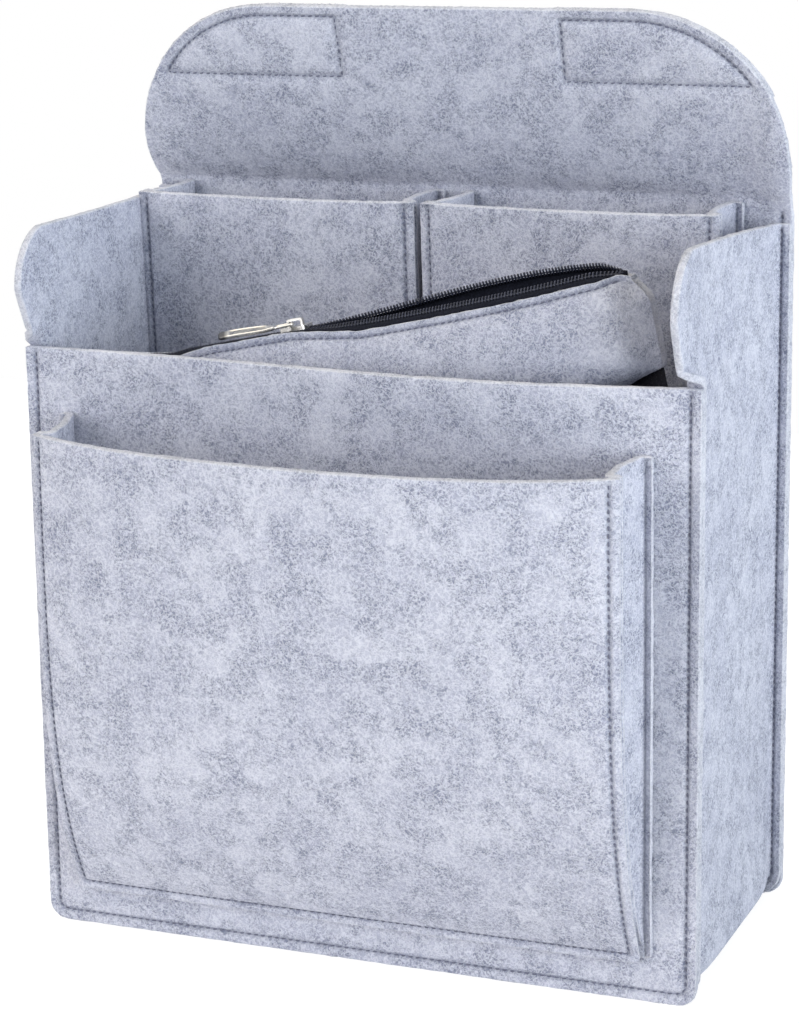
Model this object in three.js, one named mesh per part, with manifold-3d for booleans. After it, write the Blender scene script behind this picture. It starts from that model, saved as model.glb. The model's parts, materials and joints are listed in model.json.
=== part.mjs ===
// Felt backpack organizer insert: an open box with a tall flap, bellows pockets and a loose zip pouch.
// Millimetres, +Z up, +Y to the back. The origin is under the middle of the whole part, on the floor.
import * as THREE from 'three';
import { mergeVertices } from 'three/addons/utils/BufferGeometryUtils.js';
import Module from 'manifold-3d';

const wasm = await Module();
wasm.setup();

// Felt and sewing
const FELT = 3;
const PLAY = 0.3;
const SEAM = 4.5;
const SEAM_BEND_INSIDE = 1;

// Box
const WIDTH = 264;
const DEPTH = 122.6;
const FRONT_HEIGHT = 229;
const CORNER_RADIUS = 5;
const EAR_RISE = 45.5;
const EAR_FOOT = 3;
const EAR_FLARE = 14.5;
const EAR_SLANT_POWER = 0.9;
const EAR_ROUND = 16;
const LIP_FREE = 0.5;
const LIP_UNFOLD = 7;

// Flap
const FLAP_HEIGHT = 75.5;
const FLAP_STRAIGHT = 4.5;
const FLAP_CORNER = 60;
const FLAP_FLARE = 1.5;
const FLAP_LEAN = 29;
const FLAP_LEAN_POWER = 0.6;
const FLAP_LEAN_EASE = 0.05;
const PATCH_HEIGHT = 31.5;
const PATCH_LEFT_WIDTH = 92;
const PATCH_RIGHT_WIDTH = 90;

// Bellows pockets: the belly's share and power, the flat rim outside each folded strip's bend,
// and how the bow of a panel fades towards its sides and its foot
const POCKET_BELLY = 0.9;
const POCKET_BELLY_POWER = 5;
const POCKET_RIM = 1;
const POCKET_BOW_POWER = 2.8;
const POCKET_BOW_RISE = 0.8;

// Front pocket, in distances from the edges of the front panel
const FRONT_POCKET_BOTTOM = 16.5;
const FRONT_POCKET_DROP = 24;
const FRONT_POCKET_OPENING = 36;
const FRONT_POCKET_BOW = 12;
const FRONT_POCKET_SAG = 2.7;
const FRONT_POCKET_WALL_MARGIN = 15;
const FRONT_POCKET_BOTTOM_MARGIN = 18;
const FRONT_POCKET_TOP_MARGIN = 22;
const FRONT_POCKET_BEND_INSIDE = 1;

// Inner pockets, in distances from the side walls and from the foot of the flap
const INNER_POCKET_HEIGHT = 200;
const INNER_POCKET_DROP = 2;
const INNER_POCKET_OPENING = 35;
const INNER_POCKET_LEFT_GAP = 3;
const INNER_POCKET_RIGHT_GAP = 11;
const INNER_POCKET_SLIT = 7;
const INNER_POCKET_BEND_INSIDE = 0.5;

// Zip pouch, in its own tilted frame with the zipper line at height 0
const POUCH_SIDE_ROOM = 15.5;
const POUCH_FLARE = 5;
const POUCH_FLARE_DEPTH = 0.8;
const POUCH_END_HEIGHT = 36;
const POUCH_HEIGHT = 46;
const POUCH_BELLY = 9;
const POUCH_BELLY_POWER = 0.9;
const POUCH_BELLY_TURN = 0.72;
const POUCH_END_RUN = 14;
const POUCH_SAG_RUN = 34;
const POUCH_TILT_DEG = 12.4;
const POUCH_X = -6.7;
const POUCH_ZIP_RISE = 14;
const POUCH_BEND_RUN = 43;
const POUCH_BEND = 0.0021;
const ZIP_SAG = 2.8;
const HOOK_STRIP_HEIGHT = 14;
const HOOK_STRIP_THICKNESS = 1.8;

// Mouth of the pouch
const MOUTH_OPEN = 7;
const MOUTH_SKEW = 1.5;
const MOUTH_FULLNESS = 0.8;
const MOUTH_RISE_FRONT = 0;
const MOUTH_RISE_BACK = 4.5;
const FELT_RISE_FRONT = -0.8;
const FELT_RISE_BACK = 1.5;

// Zipper tape and teeth
const TAPE = 0.5;
const TAPE_WIDTH_SEWN = 7;
const TAPE_TUCK = 1;
const TAPE_END_GAP = 6;
const TAPE_PLAY = 0.7;
const CHAIN_LEVEL = 1.5;
const CHAIN_CLOSING_RUN = 12;
const TOOTH_PITCH = 1.5;
const TOOTH_BASE = 0.9;
const TOOTH_LENGTH = 0.7;
const TOOTH_MESH = 0.2;
const TOOTH_HEIGHT = 1.4;
const COIL_CORD = 1;

// Slider and pull
const SLIDER_AT = -22.8;
const SLIDER_LENGTH = 11;
const SLIDER_PLATE = 1;
const SLIDER_PLAY = 0.5;
const SLIDER_RIM = 0.7;
const SLIDER_NECK = 1;
const SLIDER_SHOULDER = 1.6;
const SPREAD_RUN = 4.5;
const DIVIDER_LENGTH = 3.2;
const DIVIDER_WIDTH = 1.8;
const DIVIDER_END_WIDTH = 1.4;
const DIVIDER_SETBACK = 0.7;
const DIVIDER_PLAY = 0.6;
const BRIDGE_WIDTH = 1.8;
const BRIDGE_HEIGHT = 2.8;
const BRIDGE_SPAN = 6.4;
const BRIDGE_THICKNESS = 0.9;
const BRIDGE_CORNER = 1;
const PULL_LENGTH = 26;
const PULL_WIDTH = 4.6;
const PULL_THICKNESS = 1;
const PULL_RING = 7.5;
const PULL_BAR = 1;
const PULL_SIDE_PLAY = 1.2;
const PULL_NECK = 1.5;
const PULL_NECK_WIDTH = 3.2;
const PULL_GRIP = 8;
const PULL_END_ROUND = 2;
const PULL_SHIFT = -1.2;
const PULL_YAW_DEG = 12;
const PULL_DROOP_DEG = 3;

// How finely round forms are stepped
const CORNER_STEPS = 4;
const FLAP_STEPS = 8;
const CURVE_SEGMENTS = 6;
const POCKET_ROWS = [0, 0.03, 0.07, 0.13, 0.2, 0.3, 0.45, 0.7, 1];
const BOW_COLUMNS = [-1, -0.9, -0.75, -0.55, -0.3, 0, 0.3, 0.55, 0.75, 0.9, 1];
const POUCH_ROWS = [0, 0.2, 0.4, 0.6, 0.75, 0.86, 0.94, 1];
const WELD = 1e-4;
const STRAIGHT = 1e-5;

// What follows from the sizes above
const BEND_RADIUS = FELT / 2 + SEAM_BEND_INSIDE;
const LIP_ARC = BEND_RADIUS * Math.PI / 2;
const WALL_X = WIDTH / 2 - SEAM - FELT / 2;
const WALL_INNER_X = WALL_X - FELT / 2;
const FLOOR_Z = SEAM + FELT / 2;
const LIP_Y = DEPTH / 2 - FELT - PLAY - FELT / 2;
const WALL_END_Y = LIP_Y - BEND_RADIUS;
const LIP_LENGTH = LIP_ARC + SEAM + FELT / 2 - BEND_RADIUS;
const LIP_SHARES = [1, LIP_ARC / LIP_LENGTH, 0.35, 0.18, 0];
const SHEET_CORNER = CORNER_RADIUS + SEAM + FELT / 2;
const FRONT_OUTER_Y = -DEPTH / 2;
const FRONT_INNER_Y = FRONT_OUTER_Y + FELT;
const BACK_INNER_Y = DEPTH / 2 - FELT;
const EAR_HEIGHT = FRONT_HEIGHT + EAR_RISE;
const LIP_FREE_FROM = FRONT_HEIGHT + LIP_FREE;
const BACK_HEIGHT = EAR_HEIGHT + FLAP_HEIGHT;
const FLAP_LEAN_START = EAR_HEIGHT + FLAP_STRAIGHT;
const PATCH_BOTTOM = BACK_HEIGHT - PATCH_HEIGHT;
const INNER_POCKET_TOP = FLAP_LEAN_START - INNER_POCKET_DROP;
const INNER_POCKET_SPACE = 2 * WALL_INNER_X - INNER_POCKET_LEFT_GAP - INNER_POCKET_RIGHT_GAP;
const INNER_POCKET_WIDTH = (INNER_POCKET_SPACE - INNER_POCKET_SLIT) / 2;
const INNER_POCKET_SHIFT = (INNER_POCKET_LEFT_GAP - INNER_POCKET_RIGHT_GAP) / 2;
const SEAM_HALF = FELT / 2 + PLAY / 2;
const SPAN_HALF = WALL_INNER_X - POUCH_SIDE_ROOM;
const CHAIN_END = SPAN_HALF - TAPE_END_GAP;
const TOOTH_ROOT = TOOTH_LENGTH - TOOTH_MESH;
const CHAIN_HALF = TOOTH_ROOT + COIL_CORD;
const CHAIN_CLEAR = TOOTH_HEIGHT / 2 + PLAY;
const ROW_SPREAD = DIVIDER_WIDTH / 2 + TOOTH_MESH + DIVIDER_PLAY;
const SPREAD_TO = SLIDER_LENGTH / 2 - DIVIDER_SETBACK - DIVIDER_LENGTH / 2 - TOOTH_MESH;
const SLIDER_NARROW = 2 * (CHAIN_HALF + SLIDER_PLAY + SLIDER_RIM);
const SLIDER_WIDE = SLIDER_NARROW + 2 * ROW_SPREAD;
const TAPE_SIDE = SLIDER_WIDE / 2 + TAPE_PLAY + TAPE / 2;
const BRIDGE_FOOT = CHAIN_LEVEL + CHAIN_CLEAR + SLIDER_PLATE;
const FRONT_REACH = DEPTH / 2 + PLAY + FELT + FRONT_POCKET_OPENING + FRONT_POCKET_BOW;
const BOX_SHIFT_Y = (FRONT_REACH - DEPTH / 2) / 2;

const felt = () => new THREE.MeshStandardMaterial({ color: 0xb4b9c6, roughness: 0.95, metalness: 0 });
const black = () => new THREE.MeshStandardMaterial({ color: 0x1a1c26, roughness: 0.7, metalness: 0 });
const nickel = () => new THREE.MeshStandardMaterial({ color: 0xb9b7b0, roughness: 0.3, metalness: 1 });

const insert = new THREE.Group();
const box = new THREE.Group();
box.position.y = BOX_SHIFT_Y;
insert.add(box);

function addMesh(parent, name, geometry, material) {
  const mesh = new THREE.Mesh(geometry, material);
  mesh.name = name;
  parent.add(mesh);
  return mesh;
}

function mix(a, b, t) {
  return a + (b - a) * t;
}

function clamp01(t) {
  return Math.min(1, Math.max(0, t));
}

function smooth(t) {
  const s = clamp01(t);
  return s * s * (3 - 2 * s);
}

// Even steps from a to b, both ends included
function steps(a, b, count) {
  return Array.from({ length: count + 1 }, (_, i) => mix(a, b, i / count));
}

// A closed body from its corner points and triangles, turned so that its faces point out
function body(points, triangles) {
  let volume = 0;
  for (const [a, b, c] of triangles) {
    volume += points[a].dot(new THREE.Vector3().crossVectors(points[b], points[c]));
  }
  const index = triangles.flatMap(([a, b, c]) => (volume < 0 ? [a, c, b] : [a, b, c]));
  const geometry = new THREE.BufferGeometry();
  geometry.setAttribute('position', new THREE.Float32BufferAttribute(points.flatMap((p) => p.toArray()), 3));
  geometry.setIndex(index);
  return geometry;
}

// A sheet of even thickness whose middle surface runs through a grid of points
function sheet(grid, thickness) {
  const rows = grid.length;
  const columns = grid[0].length;
  const points = [];
  for (const side of [0.5, -0.5]) {
    for (let r = 0; r < rows; r++) {
      for (let c = 0; c < columns; c++) {
        const across = grid[r][Math.min(c + 1, columns - 1)].clone().sub(grid[r][Math.max(c - 1, 0)]);
        const along = grid[Math.min(r + 1, rows - 1)][c].clone().sub(grid[Math.max(r - 1, 0)][c]);
        const normal = across.cross(along).normalize();
        points.push(grid[r][c].clone().addScaledVector(normal, thickness * side));
      }
    }
  }
  const half = rows * columns;
  const at = (r, c) => r * columns + c;
  const triangles = [];
  for (let r = 0; r < rows - 1; r++) {
    for (let c = 0; c < columns - 1; c++) {
      const [p, q, s, t] = [at(r, c), at(r, c + 1), at(r + 1, c + 1), at(r + 1, c)];
      triangles.push([p, q, s], [p, s, t]);
      triangles.push([half + p, half + s, half + q], [half + p, half + t, half + s]);
    }
  }
  const rim = [];
  for (let c = 0; c < columns - 1; c++) rim.push(at(0, c));
  for (let r = 0; r < rows - 1; r++) rim.push(at(r, columns - 1));
  for (let c = columns - 1; c > 0; c--) rim.push(at(rows - 1, c));
  for (let r = rows - 1; r > 0; r--) rim.push(at(r, 0));
  rim.forEach((p, i) => {
    const q = rim[(i + 1) % rim.length];
    triangles.push([p, half + p, half + q], [p, half + q, q]);
  });
  return body(points, triangles);
}

function solid(geometry) {
  const bare = geometry.clone();
  bare.deleteAttribute('normal');
  bare.deleteAttribute('uv');
  const merged = mergeVertices(bare, WELD);
  return new wasm.Manifold(new wasm.Mesh({
    numProp: 3,
    vertProperties: Float32Array.from(merged.attributes.position.array),
    triVerts: Uint32Array.from(merged.index.array),
  }));
}

function geometryOf(manifold) {
  const mesh = manifold.getMesh();
  const geometry = new THREE.BufferGeometry();
  geometry.setAttribute('position', new THREE.Float32BufferAttribute(mesh.vertProperties, 3));
  geometry.setIndex(Array.from(mesh.triVerts));
  return geometry;
}

function plate(shape, thickness) {
  const settings = { depth: thickness, bevelEnabled: false, curveSegments: CURVE_SEGMENTS };
  return new THREE.ExtrudeGeometry(shape, settings);
}

// Half the width of a sheet whose two lower corners are rounded
function roundedFoot(halfWidth, z) {
  const drop = Math.max(0, SHEET_CORNER - z);
  return halfWidth - SHEET_CORNER + Math.sqrt(SHEET_CORNER ** 2 - drop ** 2);
}

// Front panel: flat, with rounded lower corners
function frontPanel() {
  const half = WIDTH / 2;
  const shape = new THREE.Shape();
  shape.moveTo(half, FRONT_HEIGHT);
  shape.lineTo(-half, FRONT_HEIGHT);
  shape.lineTo(-half, SHEET_CORNER);
  shape.absarc(-half + SHEET_CORNER, SHEET_CORNER, SHEET_CORNER, Math.PI, 1.5 * Math.PI, false);
  shape.lineTo(half - SHEET_CORNER, 0);
  shape.absarc(half - SHEET_CORNER, SHEET_CORNER, SHEET_CORNER, 1.5 * Math.PI, 2 * Math.PI, false);
  return plate(shape, FELT).rotateX(Math.PI / 2);
}

// Half the width of the back panel at a height: rounded foot, straight sides, round flap corners
function backHalfWidth(z) {
  const rise = Math.max(0, z - (BACK_HEIGHT - FLAP_CORNER));
  const round = FLAP_CORNER - Math.sqrt(FLAP_CORNER ** 2 - Math.min(rise, FLAP_CORNER) ** 2);
  const flare = FLAP_FLARE * smooth((z - EAR_HEIGHT) / (BACK_HEIGHT - FLAP_CORNER - EAR_HEIGHT));
  return roundedFoot(WIDTH / 2, z) + flare - round;
}

// How far the flap leans to the front at a height
function flapLean(z) {
  const share = Math.max(0, z - FLAP_LEAN_START) / (BACK_HEIGHT - FLAP_LEAN_START);
  const bent = (s) => (s + FLAP_LEAN_EASE) ** FLAP_LEAN_POWER - FLAP_LEAN_EASE ** FLAP_LEAN_POWER;
  return FLAP_LEAN * bent(share) / bent(1);
}

// Heights down a round corner of the given size, close together where it turns fastest
function cornerHeights(from, size, count) {
  return steps(0, Math.PI / 2, count).map((angle) => from + size * Math.sin(angle));
}

function backPanel() {
  const foot = cornerHeights(0, SHEET_CORNER, CORNER_STEPS).map((z) => SHEET_CORNER - z).reverse();
  const flap = cornerHeights(BACK_HEIGHT - FLAP_CORNER, FLAP_CORNER, FLAP_STEPS);
  const bend = steps(FLAP_LEAN_START, BACK_HEIGHT - FLAP_CORNER, 3).slice(0, -1);
  const heights = [...foot, ...bend, ...flap].sort((a, b) => a - b);
  const middle = DEPTH / 2 - FELT / 2;
  const grid = heights.map((z) => [-1, 1].map(
    (side) => new THREE.Vector3(side * backHalfWidth(z), middle - flapLean(z), z)));
  return sheet(grid, FELT);
}

// Felt doubling behind a flap corner, cut flush with the flap's edge
function flapPatch(side, inner) {
  const flap = cornerHeights(BACK_HEIGHT - FLAP_CORNER, FLAP_CORNER, FLAP_STEPS)
    .filter((z) => z > PATCH_BOTTOM + FELT / 2);
  const middle = DEPTH / 2 + FELT / 2 + PLAY;
  const grid = [PATCH_BOTTOM, ...flap].map((z) => [inner, backHalfWidth(z)].map(
    (x) => new THREE.Vector3(side * x, middle - flapLean(z), z)));
  return sheet(grid, FELT);
}

// The strip's front edge above the front seam: it slants forward, then rounds off into the ear's top
function earFrontY(z) {
  const roundFrom = EAR_HEIGHT - EAR_ROUND;
  if (z > roundFrom) {
    const rise = Math.min(z - roundFrom, EAR_ROUND);
    return FRONT_OUTER_Y - EAR_FLARE + EAR_ROUND - Math.sqrt(EAR_ROUND ** 2 - rise ** 2);
  }
  const share = clamp01((z - FRONT_HEIGHT) / (roundFrom - FRONT_HEIGHT));
  return FRONT_OUTER_Y - mix(EAR_FOOT, EAR_FLARE, share ** EAR_SLANT_POWER);
}

// A lip that leaves the wall's end and turns outward: how far a point of it lies ahead and outside
function lipPoint(length, angle) {
  const inArc = Math.min(length, LIP_ARC);
  const rest = length - inArc;
  const curl = Math.max(angle / LIP_ARC, STRAIGHT);
  return {
    ahead: Math.sin(curl * inArc) / curl + rest * Math.cos(angle),
    outside: (1 - Math.cos(curl * inArc)) / curl + rest * Math.sin(angle),
  };
}

// One strip for both sides and the bottom, with lips turned outward along the front and back seams
function sideGusset() {
  const stations = [];
  const ear = cornerHeights(EAR_HEIGHT - EAR_ROUND, EAR_ROUND, CORNER_STEPS);
  const unfold = steps(LIP_FREE_FROM, LIP_FREE_FROM + LIP_UNFOLD, CORNER_STEPS);
  const heights = [...unfold, ...ear].sort((a, b) => b - a);
  for (const z of heights) stations.push({ x: -WALL_X, z, nx: -1, nz: 0, leg: true });
  for (const angle of steps(0, Math.PI / 2, CORNER_STEPS)) {
    stations.push({
      x: -WALL_X + CORNER_RADIUS * (1 - Math.cos(angle)),
      z: FLOOR_Z + CORNER_RADIUS * (1 - Math.sin(angle)),
      nx: -Math.cos(angle),
      nz: -Math.sin(angle),
    });
  }
  const mirrored = stations.map((s) => ({ ...s, x: -s.x, nx: -s.nx })).reverse();
  const wall = steps(-WALL_END_Y, WALL_END_Y, 3).slice(1, -1);
  const grid = [...stations, ...mirrored].map((s) => {
    const flat = s.leg ? smooth((s.z - LIP_FREE_FROM) / LIP_UNFOLD) : 0;
    const angle = (1 - flat) * Math.PI / 2;
    const reach = mix(LIP_LENGTH, -WALL_END_Y - earFrontY(s.z), flat);
    const place = (outside, y) => new THREE.Vector3(s.x + s.nx * outside, y, s.z + s.nz * outside);
    const front = LIP_SHARES.map((share) => {
      const p = lipPoint(share * reach, angle);
      return place(p.outside, -WALL_END_Y - p.ahead);
    });
    const back = LIP_SHARES.map((share) => {
      const p = lipPoint(share * LIP_LENGTH, Math.PI / 2);
      return place(p.outside, WALL_END_Y + p.ahead);
    }).reverse();
    return [...front, ...wall.map((y) => place(0, y)), ...back];
  });
  return sheet(grid, FELT);
}

addMesh(box, 'back_panel', backPanel(), felt());
addMesh(box, 'front_panel', frontPanel(), felt()).position.y = FRONT_INNER_Y;
addMesh(box, 'side_gusset', sideGusset(), felt());
addMesh(box, 'flap_patch_left', flapPatch(-1, WIDTH / 2 - PATCH_LEFT_WIDTH), felt());
addMesh(box, 'flap_patch_right', flapPatch(1, WIDTH / 2 - PATCH_RIGHT_WIDTH), felt());

// How far a bellows pocket stands open at a share of its height: a quick belly, then nearly straight
function pocketBelly(share) {
  return POCKET_BELLY * (1 - (1 - share) ** POCKET_BELLY_POWER) + (1 - POCKET_BELLY) * share;
}

// A bellows pocket in front of a flat sheet: its panel and the two folding strips beside it
function pocket(spec) {
  const height = spec.top - spec.bottom;
  const share = (z) => (z - spec.bottom) / height;
  const panelY = (z) => spec.baseY - PLAY - FELT / 2 - spec.opening * pocketBelly(share(z));
  const panelHalf = (z) => mix(spec.bottomWidth, spec.topWidth, share(z)) / 2;
  const flangeY = spec.baseY - PLAY - FELT / 2;
  const slant = (z) => Math.hypot(1, panelY(z + 0.5) - panelY(z - 0.5));
  const lipY = (z) => panelY(z) + (FELT + PLAY) * slant(z);
  const bend = FELT / 2 + spec.bendInside;
  const lipWidth = bend + FELT / 2 + POCKET_RIM;
  let foot = spec.bottom;
  while (flangeY - lipY(foot) < 2 * bend + PLAY) foot += 0.5;
  const rows = POCKET_ROWS.map((s) => mix(foot, spec.top, s));
  const heights = [spec.bottom, mix(spec.bottom, foot, 0.5), ...rows];
  const panel = sheet(heights.map((z) => spec.columns.map((across) => {
    const bowed = (1 - Math.abs(across) ** POCKET_BOW_POWER) * share(z) ** POCKET_BOW_RISE;
    return new THREE.Vector3(
      spec.x + across * panelHalf(z), panelY(z) - spec.bow * bowed, z - spec.sag * bowed);
  })), FELT);

  const strip = (side) => sheet(rows.map((z) => {
    const wallX = spec.wallWidth / 2 - lipWidth;
    const panelX = panelHalf(z) - lipWidth;
    const turn = steps(0, Math.PI / 2, 2);
    const flange = turn.map((a) => [wallX + bend * (1 - Math.sin(a)), flangeY - bend * (1 - Math.cos(a))]);
    const lip = turn.map((a) => [panelX + bend * (1 - Math.cos(a)), lipY(z) + bend * (1 - Math.sin(a))]);
    const path = [[spec.wallWidth / 2, flangeY], ...flange, ...lip, [panelHalf(z), lipY(z)]];
    return path.map(([x, y]) => new THREE.Vector3(spec.x + side * x, y, z));
  }), FELT);
  return { panel, strip };
}

const frontPocket = pocket({
  x: 0,
  baseY: FRONT_OUTER_Y,
  bottom: FRONT_POCKET_BOTTOM,
  top: FRONT_HEIGHT - FRONT_POCKET_DROP,
  opening: FRONT_POCKET_OPENING,
  bow: FRONT_POCKET_BOW,
  sag: FRONT_POCKET_SAG,
  columns: BOW_COLUMNS,
  bottomWidth: WIDTH - 2 * FRONT_POCKET_BOTTOM_MARGIN,
  topWidth: WIDTH - 2 * FRONT_POCKET_TOP_MARGIN,
  wallWidth: WIDTH - 2 * FRONT_POCKET_WALL_MARGIN,
  bendInside: FRONT_POCKET_BEND_INSIDE,
});
addMesh(box, 'front_pocket_panel', frontPocket.panel, felt());
addMesh(box, 'front_pocket_gusset_left', frontPocket.strip(-1), felt());
addMesh(box, 'front_pocket_gusset_right', frontPocket.strip(1), felt());

for (const [name, side] of [['left', -1], ['right', 1]]) {
  const inner = pocket({
    x: INNER_POCKET_SHIFT + side * (INNER_POCKET_WIDTH + INNER_POCKET_SLIT) / 2,
    baseY: BACK_INNER_Y,
    bottom: INNER_POCKET_TOP - INNER_POCKET_HEIGHT,
    top: INNER_POCKET_TOP,
    opening: INNER_POCKET_OPENING,
    bow: 0,
    sag: 0,
    columns: [-1, 1],
    bottomWidth: INNER_POCKET_WIDTH,
    topWidth: INNER_POCKET_WIDTH,
    wallWidth: INNER_POCKET_WIDTH,
    bendInside: INNER_POCKET_BEND_INSIDE,
  });
  addMesh(box, `inner_pocket_${name}_panel`, inner.panel, felt());
  addMesh(box, `inner_pocket_${name}_gusset_outer`, inner.strip(side), felt());
  addMesh(box, `inner_pocket_${name}_gusset_inner`, inner.strip(-side), felt());
}

// Zipper: how far it stands open at a place along the pouch, 0 where closed and 1 at its widest
function openness(u) {
  const share = clamp01((u - SLIDER_AT) / (CHAIN_END - SLIDER_AT));
  return Math.sin(Math.PI * share ** MOUTH_SKEW) ** MOUTH_FULLNESS;
}

// The left end of the pouch bends back towards level
function endLift(u) {
  return POUCH_BEND * Math.max(0, -SPAN_HALF + POUCH_BEND_RUN - u) ** 2;
}

// The zipper line hangs a little between its ends, and follows the bend at the left
function zipLift(u) {
  return endLift(u) - ZIP_SAG * (1 - Math.min(1, (u / CHAIN_END) ** 2));
}

// Half the distance between the pitch lines of the two tooth rows
function rowOffset(u) {
  const divider = smooth((u - SLIDER_AT - SPREAD_TO) / SPREAD_RUN + 1);
  const closing = smooth((u - CHAIN_END) / CHAIN_CLOSING_RUN + 1);
  return ROW_SPREAD * divider * (1 - closing) + MOUTH_OPEN * openness(u);
}

function rowLevel(u, side) {
  return CHAIN_LEVEL + (side < 0 ? MOUTH_RISE_FRONT : MOUTH_RISE_BACK) * openness(u) + zipLift(u);
}

// Half the distance between the felt's top edges, before the ends draw together
function mouthHalf(u) {
  const open = MOUTH_OPEN + ROW_SPREAD + COIL_CORD + TOOTH_LENGTH + PLAY;
  return mix(TAPE_SIDE, open, openness(u)) + TAPE / 2 + PLAY + FELT / 2;
}

function feltTop(u, side) {
  return (side < 0 ? FELT_RISE_FRONT : FELT_RISE_BACK) * openness(u) + zipLift(u);
}

// The share of its full depth that the pouch has at a distance from its end
function endFullness(distance) {
  return Math.sin(Math.PI / 2 * clamp01(distance / POUCH_END_RUN));
}

function pouchBottom(u, half) {
  return -mix(POUCH_END_HEIGHT, POUCH_HEIGHT, smooth((half - Math.abs(u)) / POUCH_SAG_RUN)) + endLift(u);
}

// Share of the belly at a share of the height: fuller towards the base, then turned in to the bottom seam
function pouchBelly(v) {
  if (v < POUCH_BELLY_TURN) return Math.sin(Math.PI / 2 * v / POUCH_BELLY_TURN) ** POUCH_BELLY_POWER;
  return Math.sqrt(1 - ((v - POUCH_BELLY_TURN) / (1 - POUCH_BELLY_TURN)) ** 2);
}

function pouchPoint(along, v, side) {
  const half = SPAN_HALF + POUCH_FLARE * smooth(v / POUCH_FLARE_DEPTH);
  const u = along * half;
  const full = endFullness(half - Math.abs(u));
  const depth = (mouthHalf(u) - SEAM_HALF) * (1 - v) + POUCH_BELLY * pouchBelly(v);
  const z = mix(feltTop(u, side), pouchBottom(u, half), v);
  return new THREE.Vector3(u, side * (SEAM_HALF + full * depth), z);
}

const POUCH_COLUMNS = steps(-Math.PI / 2, Math.PI / 2, 32).map(Math.sin);

function pouchHalf(side) {
  return sheet(POUCH_ROWS.map((v) => POUCH_COLUMNS.map((along) => pouchPoint(along, v, side))), FELT);
}

function pouchFrontReach() {
  const depths = POUCH_ROWS.flatMap((v) => POUCH_COLUMNS.map((along) => -pouchPoint(along, v, -1).y));
  return Math.max(...depths) + FELT / 2;
}

// Black strip that hangs from the pouch's bottom seam
function hookStrip() {
  const half = SPAN_HALF + POUCH_FLARE;
  return sheet([0, 1].map((row) => POUCH_COLUMNS.map((along) => {
    const u = along * half;
    const z = pouchBottom(u, half) - PLAY - row * HOOK_STRIP_HEIGHT;
    return new THREE.Vector3(u, 0, z);
  })), HOOK_STRIP_THICKNESS);
}

// Places along the zipper, close together at the slider and at the far end of the mouth
function zipperStations() {
  const near = SLIDER_AT + SPREAD_TO - SPREAD_RUN - TAPE;
  const far = SLIDER_AT + 2 * SPREAD_TO;
  const closing = CHAIN_END - CHAIN_CLOSING_RUN * 4 / 3;
  return [
    ...steps(-CHAIN_END, near, 14).slice(0, -1),
    ...steps(near, far, 8).slice(0, -1),
    ...steps(far, closing, 16).slice(0, -1),
    ...steps(closing, CHAIN_END, 12),
  ];
}

// Woven tape: sewn inside the felt's top edge, then turned over to the tooth row
function zipperTape(side) {
  const turn = [0, 0.35, 0.7, 1];
  const grid = zipperStations().map((u) => {
    const full = endFullness(SPAN_HALF - Math.abs(u));
    const felt = SEAM_HALF + full * (mouthHalf(u) - SEAM_HALF);
    const sideY = felt - FELT / 2 - PLAY - TAPE / 2;
    const top = feltTop(u, side);
    const edge = rowOffset(u) + CHAIN_HALF + PLAY;
    const level = rowLevel(u, side);
    const over = turn.map((t) => new THREE.Vector3(
      u,
      side * (edge * (1 - t) ** 2 + sideY * (2 * t * (1 - t) + t * t)),
      level * (1 - t * t) + (top - TAPE_TUCK) * t * t));
    return [...over, new THREE.Vector3(u, side * sideY, top - TAPE_WIDTH_SEWN)];
  });
  return sheet(grid, TAPE);
}

// A row of teeth on its coil cord; the two rows mesh half a pitch apart where the zipper is closed
function zipperTeeth(side) {
  const first = -CHAIN_END + (side < 0 ? 0 : TOOTH_PITCH / 2);
  const count = Math.floor((CHAIN_END - first - TOOTH_BASE) / TOOTH_PITCH);
  const outline = [];
  const corner = (u, reach) => {
    outline.push([u, rowOffset(u) + reach]);
    return outline.length - 1;
  };
  const flat = [];
  let back = corner(first, CHAIN_HALF);
  let start = corner(first, TOOTH_ROOT);
  const toothEdge = [start];
  const backEdge = [back];
  for (let i = 0; i < count; i++) {
    const u = first + i * TOOTH_PITCH;
    const point = corner(u + TOOTH_BASE / 2, -TOOTH_MESH);
    const end = corner(u + TOOTH_BASE, TOOTH_ROOT);
    const nextBack = corner(u + TOOTH_PITCH, CHAIN_HALF);
    const nextStart = corner(u + TOOTH_PITCH, TOOTH_ROOT);
    flat.push([start, point, end], [back, start, end], [back, end, nextBack], [end, nextStart, nextBack]);
    toothEdge.push(point, end, nextStart);
    backEdge.push(nextBack);
    back = nextBack;
    start = nextStart;
  }
  const points = [0.5, -0.5].flatMap((level) => outline.map(([u, y]) => new THREE.Vector3(
    u, side * y, rowLevel(u, side) + level * TOOTH_HEIGHT)));
  const half = outline.length;
  const triangles = flat.flatMap(([a, b, c]) => [[a, b, c], [half + a, half + c, half + b]]);
  const rim = [...toothEdge, ...backEdge.reverse()];
  rim.forEach((p, i) => {
    const q = rim[(i + 1) % rim.length];
    triangles.push([p, half + p, half + q], [p, half + q, q]);
  });
  return body(points, triangles);
}

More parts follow.
